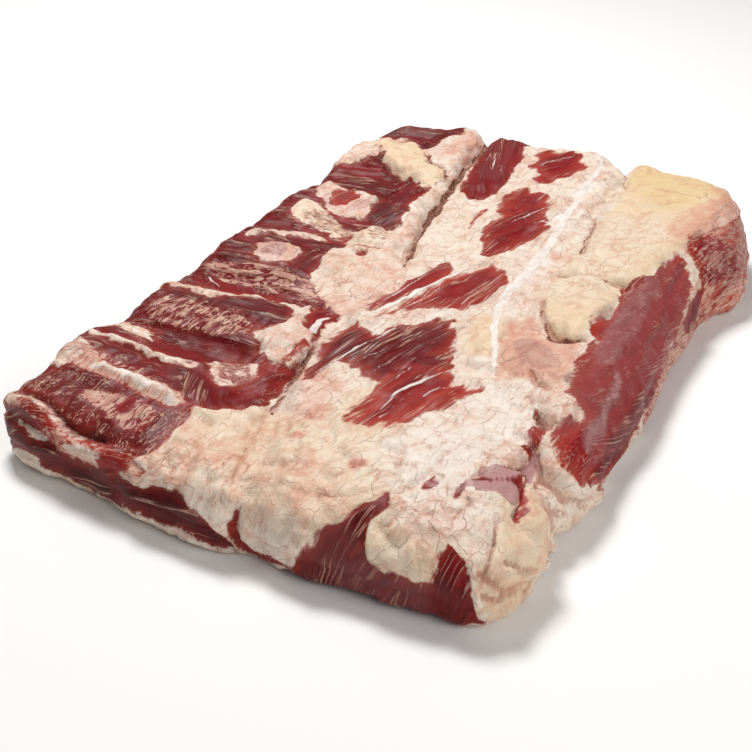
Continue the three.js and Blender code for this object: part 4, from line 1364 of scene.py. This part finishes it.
darkness = field("dark") * (1.08 - marbling * 0.25) + broad * 0.12 + bundle * 0.2 + patchy * 0.1
pink_specks = (small * 0.6 + fibre * 0.6 + grit * 0.4).step(0.3, 1.1)
muscle_colour = blend(darkness, BRIGHT_RED, DARK_RED)
muscle_colour = blend((1 - inner) * (fray * 0.06 + 0.08), muscle_colour, THIN_EDGE)
muscle_colour = blend((fibre - 0.1).step(0.0, 1.0) * 0.45, muscle_colour, PALE_FIBRE)
muscle_colour = blend((fibre * -1 - 0.1).step(0.0, 0.9) * 0.5, muscle_colour, DARK_FIBRE)
muscle_colour = blend(pink_specks * 0.4, muscle_colour, PINK_SPECK)
marble_colour = blend((small * 0.5 + fibre * 0.7).step(-0.7, 0.8), MARBLE_WHITE, MARBLE_PINK)
muscle_colour = blend(white_in_red, muscle_colour, marble_colour)

film = (field("film") * 1.1 + small * 0.14 + patchy * 0.2 + blotch * 0.15).step(0.4, 0.9)
# painted shade: creases and sunk folds are darkened, deep red on muscle and brown on fat; on fat they also
# sink a little in the bump
shaded_crease = (field("shaded_crease") + small * 0.08).step(0.68, 1.06)
muscle_colour = blend((field("film") * 1.2).step(0.0, 1.0), muscle_colour, DULL_RED)
# painted shade along the creases and sunk folds of the muscle
muscle_colour = blend(shaded_crease * 0.6, muscle_colour, PAINTED_FOLD_SHADE)
film_colour = blend((fibre * 0.7 + small * 0.5).step(-0.1, 1.0), FILM_DARK, FILM_PALE)
film_colour = blend(field("film").step(0.6, 1.0) * 0.6, film_colour, FILM_THICK)
muscle_colour = blend(film * 0.75, muscle_colour, film_colour)
print("muscle:", len(tree.nodes), "nodes so far")

# %% [markdown]
# ## Fat and sinew
# Fat runs from cool white to cream, and to yellow on the deckle. Blood tints it in soft stains,
# and thin brownish-pink membranes lie between its lobes like a loose net of veins. One flat cream
# would look like wax, so each of these is laid over the last with a mask of its own. Sinew is the
# cleanest white on the slab and shines most.

# %% Fat colour
COOL_WHITE, CREAM, YELLOW = colour(233, 220, 207), colour(227, 202, 170), colour(224, 195, 145)
# the second colour here is a painted highlight, not a colour of the fat
CLEAN_WHITE, PAINTED_HIGHLIGHT = colour(248, 240, 232), colour(248, 238, 224)
BLUSHED, BLOODY = colour(212, 150, 130), colour(176, 116, 98)
YELLOW_STREAK, BETWEEN_LOBES = colour(206, 160, 114), colour(206, 150, 124)
VEIN, SHADE_IN_FOLD = colour(188, 108, 88), colour(170, 100, 82)

warmth = field("warm") + broad * 0.16 + patchy * 0.24
fat_colour = blend(warmth.step(-0.2, 1.2), COOL_WHITE, CREAM)
fat_colour = blend((warmth - 1).step(0.0, 1.0), fat_colour, YELLOW)
fat_colour = blend((0.1 - warmth).step(0.0, 0.5), fat_colour, CLEAN_WHITE)
wisp = lumps(flat, (24, 2.2), 3.0, 1.2)
stain = field("blush") + patchy * 0.4 + broad * 0.2 + wisp * 0.25
fat_colour = blend(stain.step(0.15, 1.25) * 0.85, fat_colour, BLUSHED)
fat_colour = blend((stain - 1.0).step(0.0, 0.8) * 0.6, fat_colour, BLOODY)
yellow_streaks = (wisp * 0.7 + small * 0.4).step(0.0, 1.0) * (warmth - 0.8).step(0.0, 0.4)
fat_colour = blend(yellow_streaks * 0.4, fat_colour, YELLOW_STREAK)
lobules = cells(flat, (10, 6.5))
puff = lobules.step(0.0, 0.32)
lobed = (patchy * 0.7 + broad * 0.7 + 0.25).step(0.0, 0.8)
fat_colour = blend((1 - puff) * lobed * 0.5, fat_colour, BETWEEN_LOBES)
# painted highlights: pale patches over the fat, fewer on the yellow deckle
painted_highlights = (patchy * 0.5 - small * 0.6).step(0.2, 1.0) * (2.2 - warmth).step(0.0, 2.0)
fat_colour = blend(painted_highlights * 0.5, fat_colour, PAINTED_HIGHLIGHT)
vein_places = (broad * 0.6 - patchy * 0.8 + 0.4).step(0.0, 0.7)
veins = (1 - cells(flat, (15, 10), 0.8, 0.9).step(0.0, 0.04)) * vein_places
thread_places = (patchy * 0.6 - broad * 0.4 + small * 0.6).step(-0.25, 0.6)
threads = (1 - cells(flat, (7, 4), 0.8, 1.8).step(0.0, 0.12)) * thread_places
bare = (1.5 - warmth).step(0.0, 1.0) * (warmth + 0.4).step(0.0, 0.6)
fat_colour = blend((veins * 0.45 + threads * 0.45) * bare, fat_colour, VEIN)
# painted shade along the creases and sunk folds of the fat
fat_colour = blend(shaded_crease * (2.3 - warmth).step(0.0, 1.2) * 0.6, fat_colour, SHADE_IN_FOLD)
islands = (blotch + field("islands") - 0.6).step(0.0, 0.4) * field("islands")
fat_colour = blend(islands * 0.8, fat_colour, muscle_colour)
fat_colour = blend(film * field("film").step(0.6, 0.8) * 0.85, fat_colour, film_colour)
print("fat:", len(tree.nodes), "nodes so far")

# %% Sinew, specks, painted glints and cleft shade over both
SINEW_PINK, SINEW_WHITE = colour(230, 210, 198), colour(242, 236, 228)
# the first and last colours here are painted glints; the dark one is real grain
PAINTED_GLINT_GRAIN, DARK_GRAIN, PAINTED_GLINT_SPECK = colour(255, 248, 240), colour(110, 44, 34), colour(255, 248, 242)
# a cleft is painted dark brown, partly its torn tissue and partly the shade inside it
CLEFT_BROWN_AND_SHADE, CLEFT_CRUMB = colour(78, 40, 34), colour(176, 126, 104)

sinew = (field("strand") * 1.4 + fibre * 0.5 + small * 0.25).step(-0.4, 0.7)
sinew_colour = blend(fibre.step(-1.0, 0.4), SINEW_PINK, SINEW_WHITE)
surface = blend(meaty, fat_colour, muscle_colour)
surface = blend(sinew * 0.85, surface, sinew_colour)
# painted shade in the open clefts: dark brown, with paler crumbs of the torn tissue
cleft = (field("gap") + small * 0.35 + patchy * 0.2 + grit * 0.1).step(0.4, 0.75)
crumbs = (grit * 0.8 + small * 0.5).step(-0.45, 0.45)
# painted glints: a fine light grain, strongest on the fat
surface = blend((grit * (1 - meaty * 0.5)).step(0.1, 1.1) * 0.16, surface, PAINTED_GLINT_GRAIN)
surface = blend((grit * -1).step(0.1, 1.1) * 0.2, surface, DARK_GRAIN)
# painted glints: small white specks where wet meat would sparkle
surface = blend((grit * 0.9 + small * 0.5).step(0.95, 1.25) * 0.6, surface, PAINTED_GLINT_SPECK)
surface = blend(cleft, surface, blend(crumbs, CLEFT_BROWN_AND_SHADE, CLEFT_CRUMB))
print("surface:", len(tree.nodes), "nodes so far")

# %% [markdown]
# ## Moisture and touch
# Cold meat is moist: it throws small soft glints rather than one broad shine. A clear coat would
# put one even film over everything, so roughness varies in patches instead: 0.46 where the skin
# has dried and 0.2 where it is wet. A Bump node adds what is too fine for the mesh: fibres, puffed
# lobes of fat and the membranes sunk between them.

# %% Gloss, bump and shader
MEAT_IOR, SHINE = 1.4, 0.28  # how far light bends in wet meat, and how much of it is thrown back

lean_touch = bundle * 0.2 + fibre * 0.09
puffed = puff * lobed * 0.6 * bare
sunk = (threads * 0.25 + veins * 0.25) * bare
fat_touch = small * 0.2 + patchy * 0.25 + grit * 0.05 + puffed - sunk - shaded_crease * 0.6
touch = fat_touch + (lean_touch - fat_touch) * meaty + sinew * 0.2 + cleft * grit * 0.3
heights = {"Strength": 1.0, "Distance": 1 / MM, "Height": touch}  # touch is in millimetres
bump = Signal.node(tree, "ShaderNodeBump", {}, heights, "Normal")
wet = (small * 0.6 + patchy * 0.5 + fibre * 0.2).step(0.25, 0.85)
roughness = 0.46 - wet * 0.26 - sinew * 0.06 + cleft * 0.4
principled = {"Base Color": surface, "Roughness": roughness, "Normal": bump}
principled |= {"IOR": MEAT_IOR, "Specular IOR Level": SHINE}
shader = Signal.node(tree, "ShaderNodeBsdfPrincipled", {}, principled, "BSDF")
Signal.node(tree, "ShaderNodeOutputMaterial", sockets={"Surface": shader})
mesh.materials.append(raw_beef)
print("material:", raw_beef.name, "with", len(tree.nodes), "nodes")

# %% [markdown]
# ## Floor, light and camera
# A plain pale floor and soft lights keep the attention on the meat. The main light hangs high at
# the back left, so the upper face is bright and the near walls fall into shade. It is fairly small,
# so the lobes cast shadows; one large light overhead would flatten them. A weaker, larger light at
# the front right opens the shade and the world adds an even fill. The camera looks down at the
# front right of the slab. Colours are shown by the Standard view, because the softer one that
# Blender starts with would grey the white fat and dull the red.

# %% Floor
FLOOR_REACH, FLOOR_ROUGHNESS = 6.0, 0.8
square = ((-1, -1), (1, -1), (1, 1), (-1, 1))
floor_mesh = bpy.data.meshes.new("floor")
floor_mesh.from_pydata([(x * FLOOR_REACH, y * FLOOR_REACH, 0) for x, y in square], [], [(0, 1, 2, 3)])
floor = bpy.data.objects.new("floor", floor_mesh)
bpy.context.scene.collection.objects.link(floor)
floor_paint = bpy.data.materials.new("pale floor")
floor_paint.use_nodes = True
floor_sockets = floor_paint.node_tree.nodes["Principled BSDF"].inputs
floor_sockets["Base Color"].default_value = colour(244, 243, 241)
floor_sockets["Roughness"].default_value = FLOOR_ROUGHNESS
floor_mesh.materials.append(floor_paint)
print("floor of", 2 * FLOOR_REACH, "m")


# %% Lights
def softbox(name, at, size, power):
    """A square area light at a place, turned to face the slab."""
    light = bpy.data.lights.new(name, "AREA")
    light.size, light.energy = size, power
    lamp = bpy.data.objects.new(name, light)
    lamp.location = at
    lamp.rotation_euler = (-Vector(at)).to_track_quat("-Z", "Y").to_euler()
    bpy.context.scene.collection.objects.link(lamp)
    print(name, "at", at, "with", power, "W")


softbox("key light", at=(-0.5, 0.35, 1.35), size=0.4, power=20)
softbox("side light", at=(1.3, -0.5, 0.8), size=0.9, power=10)
FILL = 0.22
world = bpy.data.worlds.new("studio")
world.use_nodes = True
world_sockets = world.node_tree.nodes["Background"].inputs
world_sockets["Color"].default_value = (1, 1, 1, 1)
world_sockets["Strength"].default_value = FILL
bpy.context.scene.world = world

# %% Camera
LENS, SENSOR = 65, 36  # millimetres
CAMERA_AT = (0.3022, -0.6350, 0.4019)
LOOKS_AT = Vector((-0.0165, -0.0356, -0.006))
camera_data = bpy.data.cameras.new("camera")
camera_data.lens = LENS
camera_data.sensor_width = SENSOR
camera = bpy.data.objects.new("camera", camera_data)
camera.location = CAMERA_AT
camera.rotation_euler = (LOOKS_AT - camera.location).to_track_quat("-Z", "Y").to_euler()
bpy.context.scene.collection.objects.link(camera)
bpy.context.scene.camera = camera
bpy.context.scene.view_settings.view_transform = "Standard"
print("camera", tuple(round(c, 3) for c in camera.location))
